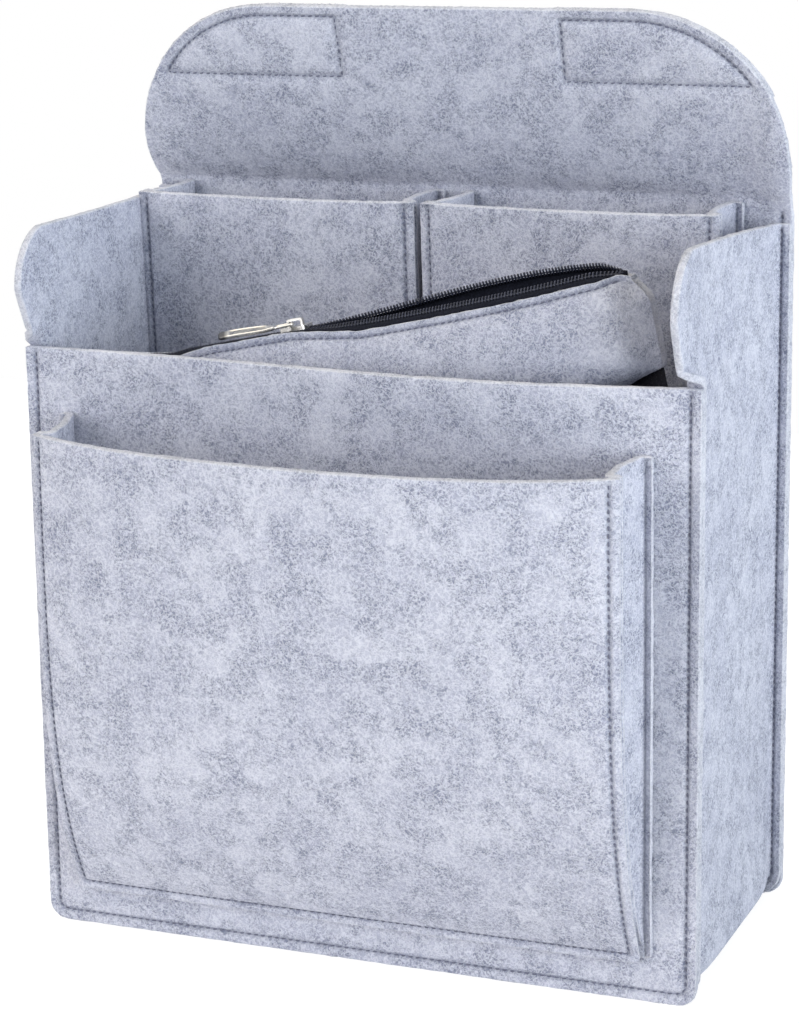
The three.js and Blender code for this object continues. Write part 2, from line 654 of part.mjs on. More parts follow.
// Slider: two plates, the divider between them, guide lips over the tapes, and the bridge for the pull
function zipperSlider() {
  const half = SLIDER_LENGTH / 2;
  const narrow = SLIDER_NARROW / 2;
  const wide = SLIDER_WIDE / 2;
  const outline = (inset) => {
    const shape = new THREE.Shape();
    shape.moveTo(-half, -narrow + inset);
    shape.lineTo(-SLIDER_NECK, -narrow + inset);
    shape.quadraticCurveTo(SLIDER_SHOULDER, -wide + inset, half - SLIDER_SHOULDER, -wide + inset);
    shape.quadraticCurveTo(half, -wide + inset, half, 0);
    shape.quadraticCurveTo(half, wide - inset, half - SLIDER_SHOULDER, wide - inset);
    shape.quadraticCurveTo(SLIDER_SHOULDER, wide - inset, -SLIDER_NECK, narrow - inset);
    shape.lineTo(-half, narrow - inset);
    return shape;
  };
  const lower = plate(outline(0), SLIDER_PLATE).translate(0, 0, CHAIN_LEVEL - CHAIN_CLEAR - SLIDER_PLATE);
  const upper = plate(outline(0), SLIDER_PLATE).translate(0, 0, CHAIN_LEVEL + CHAIN_CLEAR);
  const wedge = new THREE.Shape();
  const wedgeEnd = half - DIVIDER_SETBACK;
  const wedgeMiddle = wedgeEnd - DIVIDER_LENGTH / 2;
  wedge.moveTo(wedgeEnd - DIVIDER_LENGTH, 0);
  wedge.lineTo(wedgeMiddle, -DIVIDER_WIDTH / 2);
  wedge.lineTo(wedgeEnd, -DIVIDER_END_WIDTH / 2);
  wedge.lineTo(wedgeEnd, DIVIDER_END_WIDTH / 2);
  wedge.lineTo(wedgeMiddle, DIVIDER_WIDTH / 2);
  const divider = plate(wedge, 2 * CHAIN_CLEAR + SLIDER_PLATE)
    .translate(0, 0, CHAIN_LEVEL - CHAIN_CLEAR - SLIDER_PLATE / 2);
  const guideDrop = CHAIN_CLEAR - TAPE / 2 - PLAY;
  const guideFoot = CHAIN_LEVEL + CHAIN_CLEAR - guideDrop;
  const rim = solid(plate(outline(0), guideDrop + SLIDER_PLATE / 2).translate(0, 0, guideFoot));
  const core = solid(plate(outline(SLIDER_RIM), 2 * CHAIN_CLEAR)
    .translate(0, 0, CHAIN_LEVEL - CHAIN_CLEAR).scale((half + SLIDER_RIM) / half, 1, 1));
  const guides = rim.subtract(core);
  const arch = new THREE.Shape();
  arch.moveTo(-BRIDGE_SPAN / 2, -SLIDER_PLATE / 2);
  arch.lineTo(BRIDGE_SPAN / 2, -SLIDER_PLATE / 2);
  arch.lineTo(BRIDGE_SPAN / 2, BRIDGE_HEIGHT - BRIDGE_CORNER);
  arch.quadraticCurveTo(BRIDGE_SPAN / 2, BRIDGE_HEIGHT, BRIDGE_SPAN / 2 - BRIDGE_CORNER, BRIDGE_HEIGHT);
  arch.lineTo(-BRIDGE_SPAN / 2 + BRIDGE_CORNER, BRIDGE_HEIGHT);
  arch.quadraticCurveTo(-BRIDGE_SPAN / 2, BRIDGE_HEIGHT, -BRIDGE_SPAN / 2, BRIDGE_HEIGHT - BRIDGE_CORNER);
  const under = new THREE.Path();
  const inner = BRIDGE_SPAN / 2 - BRIDGE_THICKNESS;
  under.moveTo(-inner, 0);
  under.lineTo(-inner, BRIDGE_HEIGHT - BRIDGE_THICKNESS);
  under.lineTo(inner, BRIDGE_HEIGHT - BRIDGE_THICKNESS);
  under.lineTo(inner, 0);
  arch.holes.push(under);
  const bridge = plate(arch, BRIDGE_WIDTH).rotateX(Math.PI / 2).translate(0, BRIDGE_WIDTH / 2, BRIDGE_FOOT);
  const whole = [lower, upper, divider, bridge].map(solid).reduce((a, b) => a.add(b)).add(guides);
  return geometryOf(whole);
}

// Pull tab: a flat bar with a ring whose end bar lies under the bridge, at the tab's own origin
function zipperPull() {
  const ringHalf = BRIDGE_WIDTH / 2 + PULL_SIDE_PLAY + PULL_BAR;
  const tabHalf = PULL_WIDTH / 2;
  const neckHalf = PULL_NECK_WIDTH / 2;
  const ringEnd = -PULL_RING + PULL_BAR;
  const neck = -PULL_RING - PULL_NECK;
  const shape = new THREE.Shape();
  shape.moveTo(PULL_BAR / 2, -ringHalf);
  shape.lineTo(PULL_BAR / 2, ringHalf);
  shape.lineTo(ringEnd, ringHalf);
  shape.quadraticCurveTo(-PULL_RING - PULL_BAR, ringHalf, neck, neckHalf);
  shape.lineTo(-PULL_LENGTH + PULL_GRIP, tabHalf);
  shape.lineTo(-PULL_LENGTH + PULL_END_ROUND, tabHalf);
  shape.quadraticCurveTo(-PULL_LENGTH, tabHalf, -PULL_LENGTH, 0);
  shape.quadraticCurveTo(-PULL_LENGTH, -tabHalf, -PULL_LENGTH + PULL_END_ROUND, -tabHalf);
  shape.lineTo(-PULL_LENGTH + PULL_GRIP, -tabHalf);
  shape.lineTo(neck, -neckHalf);
  shape.quadraticCurveTo(-PULL_RING - PULL_BAR, -ringHalf, ringEnd, -ringHalf);
  const hole = new THREE.Path();
  const inside = ringHalf - PULL_BAR;
  hole.moveTo(-PULL_BAR / 2, -inside);
  hole.lineTo(ringEnd, -inside);
  hole.lineTo(ringEnd, inside);
  hole.lineTo(-PULL_BAR / 2, inside);
  shape.holes.push(hole);
  return plate(shape, PULL_THICKNESS).translate(0, 0, -PULL_THICKNESS / 2);
}

const pouch = new THREE.Group();
pouch.position.set(POUCH_X, FRONT_INNER_Y + PLAY + pouchFrontReach(), FRONT_HEIGHT + POUCH_ZIP_RISE);
pouch.rotation.y = -THREE.MathUtils.degToRad(POUCH_TILT_DEG);
box.add(pouch);

for (const [name, side] of [['front', -1], ['back', 1]]) {
  addMesh(pouch, `pouch_${name}`, pouchHalf(side), felt());
  addMesh(pouch, `zipper_tape_${name}`, zipperTape(side), black());
  addMesh(pouch, `zipper_teeth_${name}`, zipperTeeth(side), black());
}
addMesh(pouch, 'pouch_hook_strip', hookStrip(), black());

const slider = addMesh(pouch, 'zipper_slider', zipperSlider(), nickel());
slider.position.set(SLIDER_AT, 0, zipLift(SLIDER_AT));

const pull = addMesh(pouch, 'zipper_pull', zipperPull(), nickel());
const pullLevel = zipLift(SLIDER_AT) + BRIDGE_FOOT + (BRIDGE_HEIGHT - BRIDGE_THICKNESS) / 2;
pull.position.set(SLIDER_AT + PULL_SHIFT, 0, pullLevel);
const droop = THREE.MathUtils.degToRad(PULL_DROOP_DEG);
const yaw = THREE.MathUtils.degToRad(PULL_YAW_DEG);
pull.rotation.set(0, -droop, yaw, 'ZYX');

export default insert;
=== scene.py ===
import json
import math

import bmesh
import bpy
import numpy as np
from mathutils import Matrix, Vector


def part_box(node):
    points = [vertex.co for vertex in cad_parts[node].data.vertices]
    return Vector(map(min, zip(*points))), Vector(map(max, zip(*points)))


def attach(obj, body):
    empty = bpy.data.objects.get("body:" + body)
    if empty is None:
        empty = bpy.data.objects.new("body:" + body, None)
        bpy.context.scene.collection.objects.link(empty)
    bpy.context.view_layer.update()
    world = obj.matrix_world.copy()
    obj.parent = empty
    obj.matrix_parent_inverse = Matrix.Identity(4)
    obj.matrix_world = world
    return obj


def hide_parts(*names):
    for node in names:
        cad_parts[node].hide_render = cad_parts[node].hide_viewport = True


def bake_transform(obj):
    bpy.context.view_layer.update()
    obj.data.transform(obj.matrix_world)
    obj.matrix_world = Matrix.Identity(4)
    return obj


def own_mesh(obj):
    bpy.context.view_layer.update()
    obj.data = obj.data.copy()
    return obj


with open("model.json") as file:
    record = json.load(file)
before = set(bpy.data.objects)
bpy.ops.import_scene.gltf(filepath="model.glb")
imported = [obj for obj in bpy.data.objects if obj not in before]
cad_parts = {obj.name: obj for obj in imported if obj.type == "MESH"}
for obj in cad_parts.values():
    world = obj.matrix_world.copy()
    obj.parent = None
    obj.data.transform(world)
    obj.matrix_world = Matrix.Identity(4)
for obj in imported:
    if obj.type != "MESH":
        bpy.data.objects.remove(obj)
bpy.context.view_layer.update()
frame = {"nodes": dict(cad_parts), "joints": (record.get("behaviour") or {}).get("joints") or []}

# Shapes are worked out in millimetres, in the frame's axes, and become metres where a mesh is made.
MM = 0.001


def corners(node):
    """Lowest and highest corner of a CAD node, in millimetres."""
    low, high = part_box(node)
    return np.array(low) / MM, np.array(high) / MM


FRONT_LOW, FRONT_HIGH = corners("front_panel")
BACK_LOW, BACK_HIGH = corners("back_panel")
GUSSET_LOW, GUSSET_HIGH = corners("side_gusset")
PATCH_LEFT_LOW, PATCH_LEFT_HIGH = corners("flap_patch_left")
PATCH_RIGHT_LOW = corners("flap_patch_right")[0]
POCKET_LOW = corners("front_pocket_panel")[0]
STRIP_HIGH = corners("front_pocket_gusset_right")[1]

# Felt and sewing
FELT = FRONT_HIGH[1] - FRONT_LOW[1]
PLAY = 0.3
CUT_ROUND = 0.6
CUT_JITTER = 0.25
SEAM = 4.5
SEAM_INSET = 4.2
SEAM_END = 1.5
STITCH = 2.9
STITCH_SLANT = 0.14
THREAD_RADIUS = 0.28
THREAD_SHARE = 0.64
THREAD_LEVEL = 0.9
THREAD_SIDES = 6
GROOVE_DEPTH = 0.85
GROOVE_HALF = 0.75
PUCKER_DEPTH = 0.45
PUCKER_HALF = 3
CREASE_HALF = 0.85

# Distance between a sheet's points, where it is even and where it bends
STEP = 3.5
FINE_STEP = 1.6

# Box
HALF_WIDTH = FRONT_HIGH[0]
FRONT_TOP = FRONT_HIGH[2]
FRONT_Y = (FRONT_LOW[1] + FRONT_HIGH[1]) / 2
BACK_Y = BACK_HIGH[1] - FELT / 2
BOX_Y = (FRONT_Y + BACK_Y) / 2
BOX_HALF = BACK_Y - BOX_Y
EAR_TOP = GUSSET_HIGH[2]
EAR_FOOT = 3
EAR_FLARE = FRONT_LOW[1] - GUSSET_LOW[1]
EAR_SLANT_POWER = 0.9
EAR_ROUND = 22
EAR_DROP_BACK = 5
EAR_RISE_FRONT = 2.5
EAR_TILT_FROM = FRONT_TOP + 6
LIP_FREE = 0.5
LIP_UNFOLD = 6
CORNER_RADIUS = 5
SHEET_CORNER = CORNER_RADIUS + 2.5
BEND_RADIUS = FELT / 2 + 1
WALL_X = HALF_WIDTH - SEAM - FELT / 2
FLOOR_Z = SEAM + FELT / 2
WALL_END = BOX_HALF - FELT - PLAY - BEND_RADIUS
LIP_ARC = BEND_RADIUS * math.pi / 2
LIP_LENGTH = LIP_ARC + SEAM + FELT / 2 - BEND_RADIUS
FLOOR_SAG = 3.3
FLOOR_SAG_RUN = 34
FLOOR_SAG_POWER = 6
WALL_BOW = 10
WALL_BOW_FROM = 110
WALL_BOW_SKEW = 1.7
WALL_BOW_POWER = 1.2
WALL_BOW_RISE = 1.5
SIDE_HOLLOW = 1.6
SIDE_HOLLOW_RISE = 20, 120
SIDE_RIPPLE = 0.35, 130

# Flap, with the height and length of its ripples, and where its curl starts and over what run
FLAP_TOP = BACK_HIGH[2] - 0.4
FLAP_CORNER = 60
FLAP_FLARE = BACK_HIGH[0] - HALF_WIDTH
FLAP_LEAN = BACK_HIGH[1] - BACK_LOW[1] - FELT
FLAP_LEAN_POWER = 0.6
FLAP_LEAN_EASE = 0.05
FLAP_TWIST = 0.1
FLAP_SHIFT = 1.8
FLAP_LOOSE_RUN = 50
FLAP_RIPPLE = 0.8, 170
LEAN_FROM = EAR_TOP + 4.5
CURL_LEFT = 1
CURL_RIGHT = 5
CURL_ACROSS = 112, 18
CURL_UP = EAR_TOP - 4, 12
CURL_FADE = LEAN_FROM + 10, 40


def mix(a, b, t):
    return a + (b - a) * t


def smooth(t):
    s = np.clip(t, 0, 1)
    return s * s * (3 - 2 * s)


def ramp(value, start, run):
    """Smooth rise from 0 to 1 over a run."""
    return smooth((value - start) / run)


def unit(vectors):
    return vectors / np.maximum(np.linalg.norm(vectors, axis=-1, keepdims=True), 1e-12)


# A felt sheet's slow unevenness: how many waves cross, the range of their lengths and about their peak
WAVES = 5
WAVE_LENGTHS = 0.7, 1.6
WAVE_PEAK = 2.2


def wave(u, v, seed, amount, length):
    """Height of the crossed sine waves of a sheet."""
    rng = np.random.default_rng(seed)
    total = 0 * (u + v)
    for _ in range(WAVES):
        angle = rng.uniform(0, math.tau)
        turn = math.tau / (length * rng.uniform(*WAVE_LENGTHS))
        phase = rng.uniform(0, math.tau)
        total = total + np.sin((u * math.cos(angle) + v * math.sin(angle)) * turn + phase)
    return amount * total / WAVE_PEAK


def places(low, high, step, fine=(), fine_step=0.4, reach=2):
    """Places from low to high about a step apart, and closer together near each fine place."""
    spots = list(np.linspace(low, high, max(2, round((high - low) / step) + 1)))
    for place in fine:
        spots += list(np.arange(place - reach, place + reach + fine_step / 2, fine_step))
    kept = [low]
    for spot in sorted(spots):
        if low < spot < high and spot - kept[-1] > 0.7 * fine_step:
            kept.append(spot)
    if high - kept[-1] < 0.4 * fine_step:
        kept.pop()
    return np.array([*kept, high])


def apart(lists, gap):
    """The places of several lists in order, without those closer than a gap to the one before."""
    spots = np.unique(np.round(np.concatenate(lists), 3))
    return spots[np.concatenate([[True], np.diff(spots) > gap])]


def arc(centre, radius, start, stop, count=10):
    """Points on an arc in a sheet's flat plane, angles in degrees."""
    angles = np.radians(np.linspace(start, stop, count))
    return [(centre[0] + radius * math.cos(a), centre[1] + radius * math.sin(a)) for a in angles]


def line_distance(u, v, line):
    best = np.full(np.shape(u), np.inf)
    points = np.asarray(line, float)
    for (au, av), (bu, bv) in zip(points[:-1], points[1:]):
        du, dv = bu - au, bv - av
        t = np.clip(((u - au) * du + (v - av) * dv) / (du * du + dv * dv), 0, 1)
        best = np.minimum(best, np.hypot(u - au - t * du, v - av - t * dv))
    return best


def dents(away):
    """How deep the thread draws the felt in, by the distance from a stitch line."""
    pucker = PUCKER_DEPTH * np.exp(-(away / PUCKER_HALF) ** 2)
    return GROOVE_DEPTH * np.exp(-(away / GROOVE_HALF) ** 2) + pucker


def crease_shade(away):
    """Share of painted shade at a place, by how near it lies to a stitch line's groove."""
    return np.exp(-(away / CREASE_HALF) ** 2)


# Profile of a cut edge: how far it stands out, and its level, from the upper face to the lower one
RIM = [(0.45, 0.94), (0.8, 0.74), (0.97, 0.38), (1, 0), (0.97, -0.38), (0.8, -0.74), (0.45, -0.94)]


def round_edge(grid):
    """What lies round the edge of a grid, in order."""
    return np.concatenate([grid[0, :-1], grid[:-1, -1], grid[-1, :0:-1], grid[:0:-1, 0]])


def sheet_mesh(mid, dent, thickness, seed):
    """Vertices and faces of a closed felt sheet round its middle surface, with rounded cut edges."""
    normal = unit(np.cross(np.gradient(mid, axis=1), np.gradient(mid, axis=0)))
    half = normal * (thickness / 2 - dent)[..., None]
    spot, face = round_edge(mid), round_edge(normal)
    away = spot - round_edge(np.pad(mid[1:-1, 1:-1], ((1, 1), (1, 1), (0, 0)), mode="edge"))
    tangent = unit(np.roll(spot, -1, 0) - np.roll(spot, 1, 0))
    outward = np.cross(tangent, face)
    outward = unit(outward * np.sign((outward * away).sum(1, keepdims=True)))
    rough = np.random.default_rng(seed)
    reach = CUT_ROUND * min(1, thickness / FELT)
    rings = []
    for push, level in RIM:
        jitter = 1 + CUT_JITTER * rough.standard_normal((len(spot), 1)) * abs(push)
        rings.append(spot + outward * reach * push * jitter + face * thickness / 2 * level)
    verts = np.concatenate([(mid + half).reshape(-1, 3), (mid - half).reshape(-1, 3), *rings])
    count = normal[..., 0].size
    at = np.arange(count).reshape(mid.shape[:2])
    quads = np.stack([at[:-1, :-1], at[:-1, 1:], at[1:, 1:], at[1:, :-1]], -1).reshape(-1, 4)
    edge = round_edge(at)
    chain = [edge, *np.arange(2 * count, len(verts)).reshape(len(RIM), -1), edge + count]
    faces = [quads, quads[:, ::-1] + count]
    for a, b in zip(chain[:-1], chain[1:]):
        faces.append(np.stack([a, b, np.roll(b, -1), np.roll(a, -1)], 1))
    return verts, np.concatenate(faces)


def linked(name, data):
    """A new object in the scene."""
    obj = bpy.data.objects.new(name, data)
    bpy.context.scene.collection.objects.link(obj)
    return obj


def make_object(name, verts, faces, material):
    mesh = bpy.data.meshes.new(name)
    mesh.from_pydata((np.asarray(verts) * MM).tolist(), [], [list(map(int, f)) for f in faces])
    shape = bmesh.new()
    shape.from_mesh(mesh)
    bmesh.ops.recalc_face_normals(shape, faces=shape.faces)
    shape.to_mesh(mesh)
    shape.free()
    mesh.shade_smooth()
    mesh.materials.append(material)
    return linked(name, mesh)


def tube_faces(count, rings, sides):
    """Faces of closed tubes whose points run round each ring of each tube."""
    at = np.arange(count * rings * sides).reshape(count, rings, sides)
    turned = np.roll(at, -1, 2)
    quads = np.stack([at[:, :-1], turned[:, :-1], turned[:, 1:], at[:, 1:]], -1).reshape(-1, 4)
    return [*quads.tolist(), *at[:, 0, ::-1].tolist(), *at[:, -1].tolist()]


def joined(parts):
    """One list of points and one of faces from several meshes."""
    verts, faces = [], []
    for points, shapes in parts:
        offset = sum(len(v) for v in verts)
        verts.append(points)
        faces += [[i + offset for i in shape] for shape in shapes]
    return np.concatenate(verts), faces


# Profile of a stitch: the share of its length, and its rise and thickness as shares of the thread's radius
STITCH_PROFILE = np.array([
    (0, -1.6, 0.6), (0.1, -0.5, 0.9), (0.25, 0.3, 1), (0.5, 0.55, 1.05),
    (0.75, 0.3, 1), (0.9, -0.5, 0.9), (1, -1.6, 0.6)])


def stitch_mesh(start, end, up):
    """Short thread stitches from start to end, lying on a face and dipping into it at both ends."""
    side = unit(np.cross(end - start, up))
    share = STITCH_PROFILE[:, 0]
    rise, width = STITCH_PROFILE[:, 1:].T * THREAD_RADIUS
    turns = np.linspace(0, math.tau, THREAD_SIDES, endpoint=False)
    centre = start[:, None] + (end - start)[:, None] * share[:, None] + up[:, None] * rise[:, None]
    spoke = side[:, None] * np.cos(turns)[:, None] + up[:, None] * np.sin(turns)[:, None]
    verts = centre[:, :, None] + spoke[:, None] * width[:, None, None]
    return verts.reshape(-1, 3), tube_faces(*verts.shape[:3])


def along_line(line, pitch):
    """Points a stitch apart along a line in a sheet's flat plane."""
    points = np.asarray(line, float)
    run = np.concatenate([[0], np.cumsum(np.hypot(*np.diff(points, axis=0).T))])
    at = np.linspace(0, run[-1], max(2, round(run[-1] / pitch) + 1))
    return np.interp(at, run, points[:, 0]), np.interp(at, run, points[:, 1])


def sewn(name, surface, lines, faces):
    """One thread mesh for all the stitch lines of a sheet, on the faces asked for: 1 upper, -1 lower."""
    tiny = 0.05
    level = FELT / 2 - GROOVE_DEPTH - PUCKER_DEPTH + THREAD_RADIUS * THREAD_LEVEL
    parts = []
    for line in lines:
        u, v = along_line(line, STITCH)
        spot = surface(u, v)
        normal = unit(np.cross(surface(u + tiny, v) - spot, surface(u, v + tiny) - spot))
        for face in faces:
            up = normal * face
            spots = spot + up * level
            step = spots[1:] - spots[:-1]
            slant = unit(np.cross(step, up[:-1])) * STITCH_SLANT
            gap = step * (1 - THREAD_SHARE) / 2
            parts.append(stitch_mesh(spots[:-1] + gap + slant, spots[1:] - gap - slant, up[:-1]))
    return make_object(name, *joined(parts), THREAD_LOOK)


# Materials
class Nodes:
    """The nodes of a material or of the world."""

    def __init__(self, owner):
        owner.use_nodes = True
        self.tree = owner.node_tree

    def feed(self, node, inputs):
        """Give a node its inputs: another node's output is linked, a plain value is set on the socket."""
        for key, value in inputs.items():
            if isinstance(value, bpy.types.NodeSocket):
                self.tree.links.new(value, node.inputs[key])
            else:
                node.inputs[key].default_value = value

    def finish(self, name, inputs):
        """Give inputs to a node that was there from the start, and return its first output."""
        node = self.tree.nodes[name]
        self.feed(node, inputs)
        return node.outputs[0] if node.outputs else None

    def add(self, kind, output, inputs, **settings):
        """Add a node with its settings and inputs, and return one of its outputs."""
        node = self.tree.nodes.new("ShaderNode" + kind)
        for key, value in settings.items():
            setattr(node, key, value)
        self.feed(node, inputs)
        return node.outputs[output]

    def noise(self, scale, detail, roughness, distortion=0.0, offset=0.0):
        inputs = {"Vector": self.add("TexCoord", "Object", {}), "W": offset, "Scale": scale,
                  "Detail": detail, "Roughness": roughness, "Distortion": distortion}
        return self.add("TexNoise", "Fac", inputs, noise_dimensions="4D")

    def spread(self, value, low, high, to_low=0.0, to_high=1.0):
        inputs = {"Value": value, "From Min": low, "From Max": high, "To Min": to_low, "To Max": to_high}
        return self.add("MapRange", "Result", inputs, clamp=True, interpolation_type="SMOOTHSTEP")

    def maths(self, operation, a, b=0):
        return self.add("Math", "Value", {0: a, 1: b}, operation=operation)

    def mixed(self, factor, a, b):
        return self.add("Mix", 2, {"Factor": factor, 6: a, 7: b}, data_type="RGBA")

    def laid(self, base, where, amount, colour):
        """A colour laid over a base by an amount, where a value asks for it."""
        return self.mixed(self.maths("MULTIPLY", where, amount), base, colour)

    def marked(self, name):
        return self.add("Attribute", "Fac", {}, attribute_name=name)

    def bump(self, height, distance, strength, **before):
        inputs = {"Height": height, "Distance": distance, "Strength": strength, **before}
        return self.add("Bump", "Normal", inputs)

    def strands(self, width, fields):
        """Thin curling lines where a noise, two of them by scale and offset, crosses its middle value."""
        lines = []
        for scale, offset in fields:
            field = self.noise(scale, 1, 0.5, 0.6, offset)
            away = self.maths("ABSOLUTE", self.maths("SUBTRACT", field, 0.5))
            lines.append(self.spread(away, 0, width, 1, 0))
        return self.maths("MAXIMUM", *lines)

    def seen_directly(self):
        """1 for what the camera sees, also by reflection or through glass, 0 for what lights the object."""
        camera, glossy, through = (
            self.add("LightPath", f"Is {kind} Ray", {}) for kind in ("Camera", "Glossy", "Transmission"))
        return self.maths("MAXIMUM", camera, self.maths("MAXIMUM", glossy, through))

    def choose(self, output, share, lit, seen):
        """Send a mix of two shaders to an output, the second of them by a share."""
        self.finish(output, {"Surface": self.add("MixShader", 0, {0: share, 1: lit, 2: seen})})


def look(name):
    material = bpy.data.materials.new(name)
    return material, Nodes(material)


# Colours of the felt: its ground, the fibres in it, painted shade over a shaded piece, a painted highlight
# on cut edges, painted shade in creases
GROUND_DARK = (0.45, 0.46, 0.56, 1)
GROUND_PALE = (0.64, 0.645, 0.725, 1)
CLUSTER = (0.25, 0.27, 0.37, 1)
FUZZ = (0.81, 0.815, 0.88, 1)
FIBRE_DARK = (0.18, 0.195, 0.27, 1)
FIBRE_PALE = (0.92, 0.925, 0.96, 1)
PIECE_SHADE = (0.15, 0.17, 0.25, 1)
CUT_EDGE_HIGHLIGHT = (0.86, 0.85, 0.84, 1)
CREASE_SHADE_COLOUR = (0.15, 0.17, 0.235, 1)


def felt_material():
    """Pressed wool felt: pale ground, clusters of dark curling fibres and pale ones over them."""
    material, nodes = look("felt")
    cloud = nodes.noise(scale=32, detail=3, roughness=0.55)
    mottle = nodes.noise(scale=95, detail=5, roughness=0.65, distortion=0.3)
    grain = nodes.noise(scale=1000, detail=3, roughness=0.65, distortion=0.5)
    dark = nodes.strands(0.08, [(400, 1.3), (540, 4.1)])
    pale = nodes.strands(0.06, [(440, 7.9), (590, 9.4)])
    density = nodes.spread(mottle, 0.40, 0.63, 0.2, 1)
    colour = nodes.mixed(nodes.spread(cloud, 0.35, 0.65), GROUND_DARK, GROUND_PALE)
    colour = nodes.laid(colour, density, 0.5, CLUSTER)
    colour = nodes.laid(colour, nodes.spread(grain, 0.32, 0.68), 0.42, FUZZ)
    colour = nodes.laid(colour, nodes.maths("MULTIPLY", dark, density), 0.8, FIBRE_DARK)
    colour = nodes.laid(colour, pale, 0.5, FIBRE_PALE)
    # Painted shade: a piece's tone darkens and blues it all over, for the shade the pouch sits in.
    colour = nodes.mixed(nodes.marked("tone"), colour, PIECE_SHADE)
    # Painted highlight: cut edges are painted lighter, as if catching the light.
    colour = nodes.laid(colour, nodes.marked("cut"), 0.32, CUT_EDGE_HIGHLIGHT)
    # Painted shade: darker along the creases that stitch lines draw into the felt.
    colour = nodes.laid(colour, nodes.marked("crease_shade"), 0.42, CREASE_SHADE_COLOUR)
    height = nodes.maths("ADD", pale, nodes.maths("MULTIPLY", grain, 1.5))
    normal = nodes.bump(height, 0.0004, 0.45, Normal=nodes.bump(mottle, 0.0012, 0.35))
    nodes.finish("Principled BSDF", {
        "Base Color": colour, "Normal": normal, "Roughness": 0.95, "Specular IOR Level": 0.12,
        "Sheen Weight": 0.12, "Sheen Roughness": 0.55, "Sheen Tint": (0.9, 0.93, 1.0, 1)})
    return material


def thread_material():
    """Dark grey sewing thread with a fine twist."""
    material, nodes = look("thread")
    twist = nodes.noise(scale=2600, detail=2, roughness=0.5)
    nodes.finish("Principled BSDF", {
        "Base Color": nodes.mixed(twist, (0.08, 0.085, 0.13, 1), (0.21, 0.22, 0.29, 1)),
        "Normal": nodes.bump(twist, 0.0002, 0.6), "Roughness": 0.65, "Sheen Weight": 0.2})
    return material


def black_material(name, low, high, roughness, shine, scale, grain):
    """Black woven or moulded nylon with a fine grain."""
    material, nodes = look(name)
    fine = nodes.noise(scale, detail=3, roughness=0.6, distortion=0.4)
    soft = nodes.noise(scale=90, detail=2, roughness=0.5)
    colour = nodes.mixed(nodes.spread(fine, 0.35, 0.7), low, high)
    nodes.finish("Principled BSDF", {
        "Base Color": nodes.laid(colour, soft, 0.3, low), "Normal": nodes.bump(fine, 0.0003, grain),
        "Roughness": roughness, "Specular IOR Level": shine})
    return material


def nickel_material():
    """Nickel-plated metal with faint rubbing marks, and painted shade where a mark asks for it."""
    material, nodes = look("nickel")
    rub = nodes.noise(scale=420, detail=4, roughness=0.65, distortion=0.6)
    colour = nodes.mixed(rub, (0.50, 0.49, 0.46, 1), (0.72, 0.71, 0.68, 1))
    nodes.finish("Principled BSDF", {
        "Base Color": nodes.mixed(nodes.marked("pull_shade"), colour, (0.05, 0.05, 0.055, 1)), "Metallic": 1,
        "Normal": nodes.bump(rub, 0.0002, 0.15), "Roughness": nodes.spread(rub, 0.3, 0.7, 0.22, 0.42)})
    return material


FELT_LOOK = felt_material()
THREAD_LOOK = thread_material()
TAPE_LOOK = black_material("zipper_tape", (0.006, 0.007, 0.012, 1), (0.02, 0.022, 0.034, 1),
                           roughness=0.85, shine=0.12, scale=1500, grain=0.7)
COIL_LOOK = black_material("zipper_coil", (0.012, 0.014, 0.026, 1), (0.04, 0.045, 0.075, 1),
                           roughness=0.3, shine=0.4, scale=800, grain=0.1)
HOOK_LOOK = black_material("hook_tape", (0.006, 0.006, 0.010, 1), (0.02, 0.02, 0.03, 1),
                           roughness=0.5, shine=0.2, scale=1200, grain=0.5)
NICKEL_LOOK = nickel_material()


def mark(obj, name, values):
    """Values by point for a material to read."""
    obj.data.attributes.new(name, "FLOAT", "POINT").data.foreach_set("value", values)


def felt_piece(name, node, body, surface, u, v, lines, faces,
               thin=0, seed=1, tone=0):
    """A felt sheet that stands for a CAD node, with its sewing."""
    away = np.min([line_distance(u, v, line) for line in lines], axis=0)
    verts, polygons = sheet_mesh(surface(u, v), dents(away) + thin, FELT, seed)
    obj = make_object(name, verts, polygons, FELT_LOOK)
    faced = np.arange(len(verts)) < 2 * u.size
    shade = np.zeros(len(verts))
    # Painted shade along the stitch creases, for the felt material to read.
    shade[faced] = np.tile(crease_shade(away).ravel(), 2)
    mark(obj, "crease_shade", shade)
    # Painted highlight on every cut edge, for the felt material to read.
    mark(obj, "cut", 1.0 - faced)
    # Painted shade over a whole piece, by its tone.
    mark(obj, "tone", np.full(len(verts), float(tone)))
    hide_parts(node)
    made = [obj, sewn(name + "_thread", surface, lines, faces)]
    if body:
        for piece in made:
            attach(piece, body)
    return made


# Front panel: its top edge is pushed out a little by the pouch behind it
def wall_bow(u, v):
    share = np.clip((u + WALL_X) / (2 * WALL_X), 0, 1)
    bump_out = np.sin(math.pi * share ** WALL_BOW_SKEW) ** WALL_BOW_POWER
    rise = np.clip((v - WALL_BOW_FROM) / (FRONT_TOP - WALL_BOW_FROM), 0, None)
    return WALL_BOW * bump_out * rise ** WALL_BOW_RISE


def front_surface(u, v):
    return np.stack([u, FRONT_Y - wall_bow(u, v), v], -1)


def foot_half(v, inset):
    """Half the width of a sheet with rounded lower corners, drawn in by an inset."""
    radius = SHEET_CORNER - inset
    drop = np.clip(SHEET_CORNER - np.maximum(v, inset), 0, radius)
    return HALF_WIDTH - SHEET_CORNER + np.sqrt(radius ** 2 - drop ** 2)


